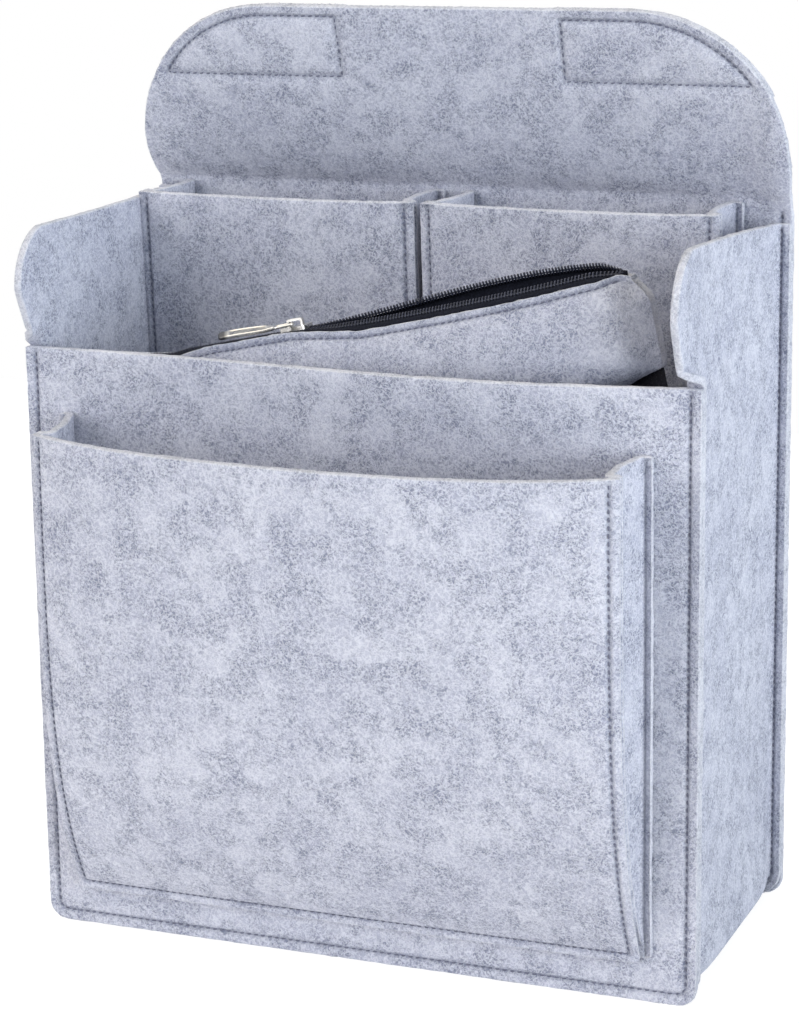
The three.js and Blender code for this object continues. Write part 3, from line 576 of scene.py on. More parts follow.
def box_seam(top):
    """Stitch line down one side of a panel, along its foot and up the other side."""
    side = HALF_WIDTH - SHEET_CORNER
    radius = SHEET_CORNER - SEAM_INSET
    left = arc((-side, SHEET_CORNER), radius, 180, 270)
    right = arc((side, SHEET_CORNER), radius, 270, 360)
    edge = HALF_WIDTH - SEAM_INSET
    return [(-edge, top - SEAM_END), *left, *right, (edge, top - SEAM_END)]


def foot_rows(top, step):
    """Heights up a panel, close together round its lower corners and along its foot seam."""
    foot = SHEET_CORNER - (SHEET_CORNER - CUT_ROUND) * np.cos(np.linspace(0, math.pi / 2, 14))
    above = places(SHEET_CORNER, top, step)
    seam = np.arange(SEAM_INSET - 2.2, SEAM_INSET + 2.3, 0.55)
    return apart([foot, seam, above], 0.2)


def shares(step):
    """Places across a panel, from -1 to 1, close together at its side seams."""
    half = HALF_WIDTH - CUT_ROUND
    seam = half - (SEAM_INSET - CUT_ROUND)
    return places(-half, half, step, [-seam, seam]) / half


def front_panel():
    share, v = np.meshgrid(shares(STEP), foot_rows(FRONT_TOP - CUT_ROUND, STEP))
    u = share * foot_half(v, CUT_ROUND)
    felt_piece("front_panel_felt", "front_panel", "organizer", front_surface, u, v, [box_seam(FRONT_TOP)],
               [1], seed=11)


# Back panel: flat below, leaning forward above the ears, with large round flap corners
def bent(share):
    return (share + FLAP_LEAN_EASE) ** FLAP_LEAN_POWER - FLAP_LEAN_EASE ** FLAP_LEAN_POWER


def flap_lean(u, v):
    """How far the flap leans forward: a little more on its left, and curling at its free side edges."""
    share = np.clip((v - LEAN_FROM) / (FLAP_TOP - LEAN_FROM), 0, None)
    lean = FLAP_LEAN * bent(share) / bent(1) * (1 - FLAP_TWIST * u / HALF_WIDTH)
    curl = mix(CURL_LEFT, CURL_RIGHT, (u / HALF_WIDTH + 1) / 2)
    return lean + curl * ramp(np.abs(u), *CURL_ACROSS) * ramp(v, *CURL_UP) * (1 - ramp(v, *CURL_FADE))


def back_surface(u, v):
    ripple = wave(u, v, 5, *FLAP_RIPPLE) * ramp(v, EAR_TOP, FLAP_LOOSE_RUN)
    y = BACK_Y - flap_lean(u, v) + ripple
    x = u + FLAP_SHIFT * ramp(v, LEAN_FROM, FLAP_LOOSE_RUN)
    return np.stack([x, y, v], -1)


def back_half(v, inset):
    radius = FLAP_CORNER - inset
    rise = np.clip(v - (FLAP_TOP - FLAP_CORNER), 0, radius)
    flare = FLAP_FLARE * ramp(v, EAR_TOP, FLAP_TOP - FLAP_CORNER - EAR_TOP)
    return foot_half(v, inset) + flare - radius + np.sqrt(radius ** 2 - rise ** 2)


def patch_outline(side, inner, bottom):
    """Stitch line of a flap patch: up its inner edge, round the flap's corner, back along its foot."""
    centre = (side * (HALF_WIDTH + FLAP_FLARE - FLAP_CORNER), FLAP_TOP - FLAP_CORNER)
    radius = FLAP_CORNER - SEAM_INSET
    low = math.degrees(math.asin((bottom - centre[1]) / radius))
    turn = [(side * (abs(x - centre[0]) + abs(centre[0])), z) for x, z in arc(centre, radius, 90, low, 24)]
    return [(inner, bottom), (inner, FLAP_TOP - SEAM_INSET), *turn, (inner, bottom)]


PATCH_FOOT = PATCH_LEFT_LOW[2] + SEAM_INSET
PATCH_LINES = [
    patch_outline(-1, PATCH_LEFT_HIGH[0] - SEAM_INSET, PATCH_FOOT),
    patch_outline(1, PATCH_RIGHT_LOW[0] + SEAM_INSET, PATCH_FOOT),
]


def back_panel():
    plain_to = EAR_TOP - 6
    seam_from = PATCH_FOOT - 3
    upper = places(seam_from, FLAP_TOP - CUT_ROUND, 1.1)[1:]
    corner = np.linspace(0, math.pi / 2, 40)[-12:]
    round_off = FLAP_TOP - FLAP_CORNER + (FLAP_CORNER - CUT_ROUND) * np.sin(corner)
    rows = apart([foot_rows(plain_to, 4), places(plain_to, seam_from, FINE_STEP), upper, round_off], 0.08)
    share, v = np.meshgrid(shares(1.5), rows)
    u = share * back_half(v, CUT_ROUND)
    lines = [box_seam(EAR_TOP), *PATCH_LINES]
    felt_piece("back_panel_felt", "back_panel", "organizer", back_surface, u, v, lines, [1, -1],
               seed=12)


def patch_surface(u, v):
    spot = back_surface(u, v)
    spot[..., 1] += FELT + PLAY
    return spot


def flap_patch(name, side, inner, line):
    rows = places(PATCH_LEFT_LOW[2] + CUT_ROUND, FLAP_TOP - CUT_ROUND, 1.2)
    share, v = np.meshgrid(places(0, 1, 0.018, [0.07, 0.95], 0.008, 0.03), rows)
    u = side * mix(abs(inner) + CUT_ROUND, back_half(v, CUT_ROUND), share)
    felt_piece(name + "_felt", name, "organizer", patch_surface, u, v, [line], [-1],
               seed=13)


# Side gusset: one strip down the left side, along the bottom and up the right side
def gusset_path():
    """The strip's run as lengths, with the place and outward direction at each."""
    turn = np.radians(np.linspace(0, 90, 16))
    x = np.array([-WALL_X, *(-WALL_X + CORNER_RADIUS * (1 - np.cos(turn)))])
    z = np.array([EAR_TOP, *(FLOOR_Z + CORNER_RADIUS * (1 - np.sin(turn)))])
    nx = np.array([-1.0, *(-np.cos(turn))])
    nz = np.array([0.0, *(-np.sin(turn))])
    x, nx = (np.concatenate([a, -a[::-1]]) for a in (x, nx))
    z, nz = (np.concatenate([a, a[::-1]]) for a in (z, nz))
    run = np.concatenate([[0], np.cumsum(np.hypot(np.diff(x), np.diff(z)))])
    return run, x, z, nx, nz


RUN, RUN_X, RUN_Z, RUN_NX, RUN_NZ = gusset_path()
LEG = EAR_TOP - FLOOR_Z - CORNER_RADIUS
RUN_LENGTH = RUN[-1]


def ear_front(z):
    """How far ahead of the box's middle the ear's front edge lies at a height."""
    front = BOX_HALF + FELT / 2
    share = np.clip((z - FRONT_TOP) / (EAR_TOP - EAR_ROUND - FRONT_TOP), 0, 1)
    slant = front + mix(EAR_FOOT, EAR_FLARE, share ** EAR_SLANT_POWER)
    rise = np.clip(z - (EAR_TOP - EAR_ROUND), 0, EAR_ROUND)
    return slant - EAR_ROUND + np.sqrt(EAR_ROUND ** 2 - rise ** 2)


def run_height(s):
    return np.interp(s, RUN, RUN_Z)


def lip_free(s):
    """Share by which the front lip has unfolded into the ear, 0 along the sewn seam."""
    high = run_height(s)
    on_leg = (s < LEG) | (s > RUN_LENGTH - LEG)
    return np.where(on_leg, ramp(high, FRONT_TOP + LIP_FREE, LIP_UNFOLD), 0)


def lip_point(length, angle):
    """How far ahead and outside a point of a lip lies, when the lip turns outward by an angle."""
    in_arc = np.minimum(length, LIP_ARC)
    curl = np.maximum(angle / LIP_ARC, 1e-6)
    rest = length - in_arc
    ahead = np.sin(curl * in_arc) / curl + rest * np.cos(angle)
    outside = (1 - np.cos(curl * in_arc)) / curl + rest * np.sin(angle)
    return ahead, outside


def gusset_surface(s, w):
    """s runs along the strip, w across it from the middle of the wall, negative to the front."""
    height = run_height(s)
    angle = np.where(w < 0, (1 - lip_free(s)) * math.pi / 2, math.pi / 2)
    ahead, outside = lip_point(np.maximum(np.abs(w) - WALL_END, 0), angle)
    y = np.sign(w) * (np.minimum(np.abs(w), WALL_END) + ahead)
    middle = np.clip(1 - (w / WALL_END) ** 2, 0, 1)
    hollow = SIDE_HOLLOW * ramp(height, *SIDE_HOLLOW_RISE)
    outside = outside + middle * (wave(s, w, 8, *SIDE_RIPPLE) - hollow)
    settled = 1 - ramp(height, FLOOR_Z, FLOOR_SAG_RUN)
    outside = outside + FLOOR_SAG * settled * np.clip(1 - (w / WALL_END) ** FLOOR_SAG_POWER, 0, 1)
    x = np.interp(s, RUN, RUN_X) + np.interp(s, RUN, RUN_NX) * outside
    z = height + np.interp(s, RUN, RUN_NZ) * outside
    tilt = mix(EAR_RISE_FRONT, -EAR_DROP_BACK, np.clip(w / WALL_END / 2 + 0.5, 0, 1))
    tilt = tilt * ramp(z, EAR_TILT_FROM, EAR_TOP - EAR_TILT_FROM)
    z = z + np.where(s > RUN_LENGTH / 2, tilt, 0)
    return np.stack([x, y + BOX_Y, z], -1)


def gusset_lines():
    """Front and back seams of the strip, on its two lips."""
    run = np.linspace(SEAM_END, RUN_LENGTH - SEAM_END, 120)
    back = WALL_END + LIP_LENGTH - SEAM_INSET + CUT_ROUND
    front = run[run_height(run) < FRONT_TOP - 1]
    return [[(s, -back) for s in front], [(s, back) for s in run]]


def side_gusset():
    turns = [LEG, LEG + CORNER_RADIUS * math.pi / 4, RUN_LENGTH - LEG]
    ears = np.linspace(0, EAR_TOP - FRONT_TOP + 3, 26)
    low, high = CUT_ROUND, RUN_LENGTH - CUT_ROUND
    along = [places(low, high, STEP, turns, 0.8, 5), ears, RUN_LENGTH - ears]
    s = apart([np.clip(spots, low, high) for spots in along], 0.3)[:, None]
    lip = np.concatenate([np.linspace(0, 0.5, 9), np.linspace(0.55, 1, 12)])
    wall = np.linspace(-WALL_END, WALL_END, 34)
    reach = mix(LIP_LENGTH, ear_front(run_height(s)) - WALL_END, lip_free(s))
    front = -WALL_END - (reach - CUT_ROUND) * lip[::-1]
    back = WALL_END + (LIP_LENGTH - CUT_ROUND) * lip + 0 * s
    w = np.concatenate([front[:, :-1], wall + 0 * s, back[:, 1:]], 1)
    felt_piece("side_gusset_felt", "side_gusset", "organizer", gusset_surface, s + 0 * w, w, gusset_lines(),
               [1, -1], seed=14)


front_panel()
back_panel()
flap_patch("flap_patch_left", -1, PATCH_LEFT_HIGH[0], PATCH_LINES[0])
flap_patch("flap_patch_right", 1, PATCH_RIGHT_LOW[0], PATCH_LINES[1])
side_gusset()


# Bellows pockets: a panel held open, and a folding strip along each side of it
POCKET_BELLY = 0.7
POCKET_BELLY_POWER = 4
POCKET_RIM = 1
POCKET_INSET = 3.3
POCKET_RIPPLE = 0.5, 120
RIM_TURN = 1.5
RIM_TURN_POWER = 1.5
DOME_POWER = 2.8
BOW_RISE = 0.8
FOOT_TRIM = 1
FOOT_LIFT = 1.1
FOOT_ROWS = 40
STRIP_FOOT = 1.5
STRIP_FOLD = 1.2
STRIP_PRESSED = 0.5
STRIP_PRESSED_TO = 2
STRIP_PRESSED_RUN = 6
STRIP_ROOM = 0.8
STRIP_BEND = 0.25
POCKET_BOW = 12
POCKET_SAG = 2.7
POCKET_TOP_INSET = 20.3
POCKET_SKEW = -2.8, 2.4, -0.75
INNER_BOW = 1.5
INNER_SAG = 0.5
INNER_WIDEN = {-1: 1.1, 1: 1.75}


def pocket_belly(share):
    return POCKET_BELLY * (1 - (1 - share) ** POCKET_BELLY_POWER) + (1 - POCKET_BELLY) * share


def rim_turn(inside):
    """How far the sewn side rim of a pocket panel turns back, by the distance from its edge."""
    return RIM_TURN * np.clip(1 - inside / POCKET_INSET, 0, 1) ** RIM_TURN_POWER


class Pocket:
    """Shape of a bellows pocket in front of a sheet whose near face is at base."""

    def __init__(self, panel, base, reach, bend_inside, bow, sag, wall, skew,
                 top_half=None, wall_half=None, widen=0):
        low, high = corners(panel)
        self.x = (low[0] + high[0]) / 2
        self.base = base
        self.bottom = low[2] + FOOT_TRIM
        self.height = high[2] - self.bottom
        self.half = (high[0] - low[0]) / 2 + widen
        self.top_half = top_half or self.half
        self.wall_half = wall_half or self.half - widen
        self.opening = base - reach - PLAY - FELT
        self.bend = FELT / 2 + bend_inside
        self.bow = bow
        self.sag = sag
        self.wall = wall
        self.skew = skew
        self.lip = FELT / 2 + POCKET_RIM

    def panel_y(self, v):
        return self.base - PLAY - FELT / 2 - self.opening * pocket_belly(np.clip(v / self.height, 0, 1))

    def panel_half(self, v):
        return mix(self.half, self.top_half, v / self.height)

    def panel_x(self, v):
        return self.x + mix(self.skew[0], self.skew[1], v / self.height)

    def panel(self, u, v):
        ratio = u / self.half
        share = np.clip(v / self.height, 0, 1)
        dome = 1 - np.abs(ratio) ** DOME_POWER
        x = self.panel_x(v) + ratio * self.panel_half(v)
        ripple = wave(u, v, 21, *POCKET_RIPPLE)
        y = self.panel_y(v) - self.bow * dome * share ** BOW_RISE + ripple * dome * share
        y = y + rim_turn(self.half - np.abs(u)) - FOOT_LIFT * np.clip(1 - v / POCKET_INSET, 0, 1)
        z = self.bottom + v - self.sag * dome * share ** BOW_RISE
        return np.stack([x, y, z], -1)

    def lip_y(self, v):
        slope = self.panel_y(v + 0.5) - self.panel_y(v - 0.5)
        return self.panel_y(v) + (FELT + PLAY) * np.hypot(1, slope)

    def foot(self):
        """Height above the panel's bottom where the strip has room to start."""
        flange = self.base - PLAY - FELT / 2
        v = np.arange(0, self.height, 0.5)
        return v[np.argmax(flange - self.lip_y(v) >= 2 * self.bend + PLAY)]

    def knots(self):
        """Lengths across a strip where it passes from flange to bend, wall, bend and lip."""
        turn = self.bend * math.pi / 2
        return np.cumsum([0, self.lip, turn, self.opening - 2 * self.bend, turn, self.lip])

    def thinned(self, v):
        """How much thinner each face of a strip is where it is pressed under the panel's foot."""
        return (FELT / 2 - STRIP_PRESSED) * (1 - ramp(v, STRIP_PRESSED_TO, self.foot() + STRIP_PRESSED_RUN))

    def strip(self, side):
        def surface(u, v):
            k = self.knots()
            flange_y = self.base - PLAY - FELT / 2 + self.thinned(v)
            room = np.maximum(flange_y - self.lip_y(v), STRIP_ROOM)
            bend = np.clip((room - PLAY) / 2, STRIP_BEND, self.bend)
            lip_y = flange_y - room
            panel_x = side * (self.panel_x(v) - self.x) + self.panel_half(v) - self.lip - bend
            t = [np.clip((u - k[i]) / (k[i + 1] - k[i]), 0, 1) for i in range(5)]
            first, last = t[1] * math.pi / 2, t[3] * math.pi / 2
            fold = STRIP_FOLD * np.sin(math.pi * t[2]) ** 2 * smooth(v / self.height)
            flange_x = self.wall_half + side * self.skew[2] - self.lip * t[0] - bend * np.sin(first)
            x = mix(flange_x, panel_x, t[2]) - fold + bend * (1 - np.cos(last)) + self.lip * t[4]
            y = mix(flange_y - bend * (1 - np.cos(first)), lip_y + bend, t[2]) - bend * np.sin(last)
            y = y + rim_turn(self.lip * (1 - t[4])) * (t[4] > 0)
            y = y - self.wall(self.x + side * x, self.bottom + v) * (1 - t[2])
            return np.stack([self.x + side * x, y, self.bottom + v], -1)
        return surface


def panel_seam(pocket):
    half = pocket.half - POCKET_INSET
    top = pocket.height - SEAM_END
    return [(-half, top), (-half, POCKET_INSET), (half, POCKET_INSET), (half, top)]


def pocket_rows(pocket, foot, step, fine=()):
    """Heights up a pocket, close together above its foot."""
    turn = foot + FOOT_ROWS
    low = places(foot + CUT_ROUND, turn, FINE_STEP, fine)
    return np.unique(np.concatenate([low, places(turn, pocket.height - CUT_ROUND, step)]))


def pocket_pieces(name, body, pocket, gussets, seed):
    half = pocket.half - CUT_ROUND
    seam = pocket.half - POCKET_INSET
    across = places(-half, half, 3.2, [-seam, seam])
    u, v = np.meshgrid(across, pocket_rows(pocket, 0, STEP, [POCKET_INSET]))
    felt_piece(name + "_panel_felt", name + "_panel", body, pocket.panel, u, v, [panel_seam(pocket)], [1],
               seed=seed)
    k = pocket.knots()
    ends = [CUT_ROUND, *k[1:5], k[5] - CUT_ROUND]
    counts = [3, 8, 11, 8, 3]
    across = [np.linspace(*ends[i:i + 2], counts[i], endpoint=False) for i in range(5)]
    u, v = np.meshgrid([*np.concatenate(across), ends[-1]], pocket_rows(pocket, STRIP_FOOT, 4))
    fold = k[1] + 0.2
    line = [(fold, STRIP_FOOT + 2), (fold, pocket.height - SEAM_END)]
    for node, side in gussets:
        made = felt_piece(node + "_felt", node, None, pocket.strip(side), u, v, [line], [side],
                          thin=pocket.thinned(v), seed=seed + 1)
        for piece in made:
            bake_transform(piece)


def flat_wall(x, z):
    return 0 * (x + z)


FRONT_POCKET = Pocket("front_pocket_panel", FRONT_LOW[1], POCKET_LOW[1] + POCKET_BOW, 1,
                      POCKET_BOW, POCKET_SAG, wall_bow, POCKET_SKEW,
                      HALF_WIDTH - POCKET_TOP_INSET, STRIP_HIGH[0] + POCKET_SKEW[2])
pocket_pieces("front_pocket", "front_pocket", FRONT_POCKET,
              [("front_pocket_gusset_left", -1), ("front_pocket_gusset_right", 1)], 31)
for hand, side in (("left", -1), ("right", 1)):
    name = "inner_pocket_" + hand
    reach = corners(name + "_panel")[0][1]
    more = INNER_WIDEN[side]
    inner = Pocket(name + "_panel", BACK_Y - FELT / 2, reach, 0.5, INNER_BOW, INNER_SAG, flat_wall,
                   (-more, -more, 0), widen=more)
    strips = [(name + "_gusset_outer", side), (name + "_gusset_inner", -side)]
    pocket_pieces(name, name, inner, strips, 41 + side)


# Zip pouch, in its own frame: u along the zipper, y to the back, z up from the zipper line
JOINTS = {joint["name"]: joint for joint in frame["joints"]}
POUCH_AXIS = np.array(JOINTS["zip_run"]["axis"])
POUCH_UP = np.array([-POUCH_AXIS[2], 0, POUCH_AXIS[0]])
BACKWARD = np.array([0, 1, 0])
POUCH_Y = (corners("pouch_front")[1][1] + corners("pouch_back")[0][1]) / 2
POUCH_AT = np.array([-6.7, POUCH_Y, FRONT_TOP + 14])
SPAN_HALF = WALL_X - FELT / 2 - 15.5
POUCH_FLARE = 5
POUCH_FLARE_DEPTH = 0.3
POUCH_FLAT_HALF = SPAN_HALF + POUCH_FLARE
POUCH_END_HEIGHT = 36
POUCH_HEIGHT = 46
POUCH_BELLY = 9
POUCH_BELLY_TURN = 0.72
POUCH_BELLY_POWER = 0.9
POUCH_END_RUN = 14
POUCH_SAG_RUN = 34
POUCH_BEND_RUN = 43
POUCH_BEND = 0.0021
# Painted shade over the whole pouch felt, for the shade it sits in.
POUCH_SHADE = 0.14
POUCH_RIPPLE = 0.45, 60
ZIPPER_SEAM = 2.6
MOUTH_OPEN = 7
MOUTH_SKEW = 1.5
MOUTH_FULLNESS = 0.8
MOUTH_ROOM = 2
MOUTH_RISE = {-1: 0.2, 1: 4.2}
ROW_TURN = math.radians(72)
ROW_TURN_RATE = 2.5
ROW_SPREAD = 1.7
ZIP_SAG = 2.8
END_DROOP = 2.4
FELT_SHUT = {-1: 2.2, 1: -0.4}
FELT_OPEN = {-1: -1.5, 1: 1.5}
FELT_LOWER = {-1: 1.6, 1: 0}
FELT_LOWER_FROM = 12
FELT_LOWER_RUN = 16
SEAM_HALF = FELT / 2 + PLAY / 2
CHAIN_END = SPAN_HALF - 6
CHAIN_RIGHT = CHAIN_END + 4
CHAIN_LEVEL = 1.5
END_DROOP_RISE = CHAIN_RIGHT - 12.6, 14
CHAIN_SINK = 1.2
CHAIN_SINK_RUN = 10
CHAIN_CLOSING_RUN = 12
CHAIN_HALF = 1.5
SLIDER_AT = -22.8
RUN_LEFT = SLIDER_AT - 44
SPREAD_TO = 3
SPREAD_RUN = 4.5
TAPE = 0.5
TAPE_SIDE = 5.35
TAPE_WIDTH_SEWN = 7
TAPE_TOP = 1


def to_frame(u, y, z):
    """A point of the pouch's own frame in the shared frame."""
    u, y, z = np.broadcast_arrays(u, y, z)
    return POUCH_AT + u[..., None] * POUCH_AXIS + z[..., None] * POUCH_UP + y[..., None] * BACKWARD


def openness(u):
    share = np.clip((u - SLIDER_AT) / (CHAIN_RIGHT - SLIDER_AT), 0, 1)
    return np.sin(math.pi * share ** MOUTH_SKEW).clip(0) ** MOUTH_FULLNESS


def end_lift(u):
    return POUCH_BEND * np.maximum(0, -SPAN_HALF + POUCH_BEND_RUN - u) ** 2


def zip_lift(u):
    """Height of the zipper line: straight where the slider runs back, hanging to the right of there."""
    droop = END_DROOP * ramp(u, *END_DROOP_RISE)
    past = np.maximum(0, RUN_LEFT - u) * (CHAIN_END + SLIDER_AT) / (CHAIN_END + RUN_LEFT)
    level = np.where(u < SLIDER_AT, SLIDER_AT - past, u)
    return end_lift(u) - droop - ZIP_SAG * (1 - np.minimum(1, (level / CHAIN_END) ** 2))


def row_offset(u):
    divider = ramp(u, SLIDER_AT + SPREAD_TO - SPREAD_RUN, SPREAD_RUN)
    closing = ramp(u, CHAIN_RIGHT - CHAIN_CLOSING_RUN, CHAIN_CLOSING_RUN)
    return ROW_SPREAD * divider * (1 - closing) + MOUTH_OPEN * openness(u)


def opened(u):
    """0 where the rows are joined, 1 where they stand open."""
    return np.minimum(1, ROW_TURN_RATE * openness(u))


def row_level(u, side):
    sunk = CHAIN_SINK * smooth((RUN_LEFT - u) / CHAIN_SINK_RUN)
    return CHAIN_LEVEL - sunk + MOUTH_RISE[side] * openness(u) + zip_lift(u)


def row_point(u, side, reach, rise):
    """A place on a tooth row: reach from its heads to its tape, rise off the tape; open rows stand up."""
    turn = ROW_TURN * opened(u)
    y = row_offset(u) + reach * np.cos(turn) + rise * np.sin(turn)
    z = row_level(u, side) - reach * np.sin(turn) + rise * np.cos(turn)
    return side * y, z


def mouth_half(u):
    wide = MOUTH_OPEN + ROW_SPREAD + MOUTH_ROOM
    return mix(TAPE_SIDE, wide, openness(u)) + TAPE / 2 + PLAY + FELT / 2


def felt_top(u, side):
    past_end = ramp(np.abs(u), CHAIN_END, SPAN_HALF - CHAIN_END)
    lower = FELT_LOWER[side] * smooth((RUN_LEFT + FELT_LOWER_FROM - u) / FELT_LOWER_RUN)
    return (mix(FELT_SHUT[side], FELT_OPEN[side], opened(u)) - lower) * (1 - past_end) + zip_lift(u)


def end_fullness(distance):
    return np.sin(math.pi / 2 * np.clip(distance / POUCH_END_RUN, 0, 1))


def pouch_bottom(u, half):
    return -mix(POUCH_END_HEIGHT, POUCH_HEIGHT, smooth((half - np.abs(u)) / POUCH_SAG_RUN)) + end_lift(u)


def pouch_belly(v):
    upper = np.sin(math.pi / 2 * np.clip(v / POUCH_BELLY_TURN, 0, 1)) ** POUCH_BELLY_POWER
    lower = np.sqrt(1 - np.clip((v - POUCH_BELLY_TURN) / (1 - POUCH_BELLY_TURN), 0, 1) ** 2)
    return np.where(v < POUCH_BELLY_TURN, upper, lower)


def pouch_surface(side):
    """Flat coordinates of a pouch half: along its zipper edge, and down from that edge."""
    def surface(flat_u, flat_v):
        v = np.clip(flat_v / POUCH_HEIGHT, 0, 1)
        half = SPAN_HALF + POUCH_FLARE * smooth(v / POUCH_FLARE_DEPTH)
        u = flat_u / POUCH_FLAT_HALF * half
        full = end_fullness(half - np.abs(u))
        depth = (mouth_half(u) - SEAM_HALF) * (1 - v) + POUCH_BELLY * pouch_belly(v)
        z = mix(felt_top(u, side), pouch_bottom(u, half), v)
        ripple = wave(flat_u, flat_v, 50 + side, *POUCH_RIPPLE) * full * (1 - v)
        return to_frame(u, side * (SEAM_HALF + full * depth + ripple), z)
    return surface


def eased(half, count):
    """Places from -half to half, closer together at both ends."""
    return half * np.sin(np.linspace(-math.pi / 2, math.pi / 2, count))


def closes(obj):
    """Gives a piece its own copy of its mesh data."""
    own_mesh(obj)


def pouch_half(name, side, seed):
    down = places(CUT_ROUND, POUCH_HEIGHT - CUT_ROUND, 1.5, [ZIPPER_SEAM])
    u, v = np.meshgrid(eased(POUCH_FLAT_HALF - CUT_ROUND, 110), down)
    edge = POUCH_FLAT_HALF - SEAM_INSET
    zipper_seam = [(-edge, ZIPPER_SEAM), (edge, ZIPPER_SEAM)]
    made = felt_piece(name + "_felt", name, "pouch", pouch_surface(side), u, v, [zipper_seam], [side],
                      seed=seed, tone=POUCH_SHADE)
    for piece in made:
        closes(piece)


pouch_half("pouch_front", -1, 51)
pouch_half("pouch_back", 1, 52)


# Black woven tape along each side of the mouth
def tape_surface(side):
    """u along the zipper; w from the tooth row, turning over at 1, to the sewn edge at 2."""
    def surface(u, w):
        full = end_fullness(SPAN_HALF - np.abs(u))
        felt = SEAM_HALF + full * (mouth_half(u) - SEAM_HALF)
        side_y = felt - FELT / 2 - PLAY - TAPE / 2
        top = felt_top(u, side) - TAPE_TOP
        edge, level = row_point(u, side, CHAIN_HALF + PLAY, 0)
        t = np.clip(w, 0, 1)
        y = side * edge * (1 - t) ** 2 + side_y * (2 * t * (1 - t) + t * t)
        z = level * (1 - t * t) + top * t * t - (TAPE_WIDTH_SEWN - TAPE_TOP) * np.clip(w - 1, 0, 1)
        return to_frame(u, side * y, z)
    return surface


def hard_piece(name, node, verts, faces, material, body="pouch"):
    """A piece of the zipper or the hook strip that stands for a CAD node."""
    obj = make_object(name, verts, faces, material)
    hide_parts(node)
    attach(obj, body)
    return obj


# Places across a tape, from its tooth row over its turn to its sewn edge
TAPE_ACROSS = [0, 0.15, 0.3, 0.45, 0.6, 0.75, 0.9, 1, 1.2, 1.5, 2]


def zipper_tape(node, side):
    w, u = np.meshgrid(TAPE_ACROSS, places(-CHAIN_END, CHAIN_RIGHT, FINE_STEP))
    verts, faces = sheet_mesh(tape_surface(side)(u, w), np.zeros(u.shape), TAPE, 61)
    obj = hard_piece(node + "_woven", node, verts, faces, TAPE_LOOK)
    closes(obj)


def tube(path, side_way, radius, sides=6):
    """Tubes along paths of points, one per first index, with flat ends; returns points and faces."""
    count, rings = path.shape[:2]
    run = unit(np.gradient(path, axis=1))
    up = unit(np.cross(run, side_way))
    over = np.cross(up, run)
    turns = np.linspace(0, math.tau, sides, endpoint=False)
    spoke = over[:, :, None] * np.cos(turns)[:, None] + up[:, :, None] * np.sin(turns)[:, None]
    verts = path[:, :, None] + spoke * np.broadcast_to(radius, (rings,))[None, :, None, None]
    return verts.reshape(-1, 3), tube_faces(count, rings, sides)


# Coil: the loops' wire and head, how far their legs spread and lean, and the cord that they go round
COIL_PITCH = 1.25
COIL_RADIUS = 0.3
COIL_HEAD = 0.45
COIL_HEAD_AT = 0.25
COIL_LEG_AT = 1.2
COIL_LEG_END = CHAIN_HALF + 0.5
COIL_LEG_SPREAD = 0.08
COIL_LEAN = 0.16
COIL_SWELL = np.array([0.8, 1, 1, 1.1, 1.25, 1.35, 1.25, 1.1, 1, 1, 0.8])
CORD_AT = 1.0
CORD_RADIUS = 0.36


def zipper_coil(node, side):
    """Nylon coil: a row of loops round a filler cord, heads to the middle of the zipper."""
    first = -CHAIN_END + (0 if side < 0 else COIL_PITCH / 2)
    u = np.arange(first + 1, CHAIN_RIGHT - 1, COIL_PITCH)
    turn = np.linspace(math.pi / 2, -math.pi / 2, 7)
    head = COIL_HEAD_AT - COIL_HEAD * np.cos(turn)
    reach = np.array([COIL_LEG_END, COIL_LEG_AT, *head, COIL_LEG_AT, COIL_LEG_END])
    leg = COIL_HEAD + COIL_LEG_SPREAD
    rise = np.array([COIL_HEAD, leg, *(COIL_HEAD * np.sin(turn)), -leg, -COIL_HEAD])
    loops_u = u[:, None] + np.linspace(-COIL_LEAN, COIL_LEAN, len(reach))
    loops = to_frame(loops_u, *row_point(loops_u, side, reach, rise))
    run = np.linspace(first, CHAIN_RIGHT - 0.5, 200)[None, :]
    cord = to_frame(run, *row_point(run, side, CORD_AT, 0))
    wire = tube(loops, POUCH_AXIS, COIL_RADIUS * COIL_SWELL)
    verts, faces = joined([wire, tube(cord, POUCH_UP, CORD_RADIUS)])
    closes(hard_piece(node + "_coil", node, verts, faces, COIL_LOOK))


# Black hook strip under the pouch: a thin backing with rows of tiny hooks on its front
HOOK_HEIGHT = 14
HOOK_BACKING = 1
HOOK_EDGE = 0.3
HOOK_PITCH = 1.9
HOOK_ROW = 1.5
HOOK_RADIUS = 0.16
HOOK_TURN = 0.9
# Profile of a hook from its root: how far out, how far curled over, and its thickness as a share
HOOK_PROFILE = np.array([
    (0.3, 0, 1), (0.9, 0.05, 1), (1.3, 0.25, 0.95), (1.45, 0.6, 0.85), (1.2, 0.85, 0.7)])


def hook_surface(u, v):
    return to_frame(u, 0, pouch_bottom(u, POUCH_FLAT_HALF) - PLAY - v)


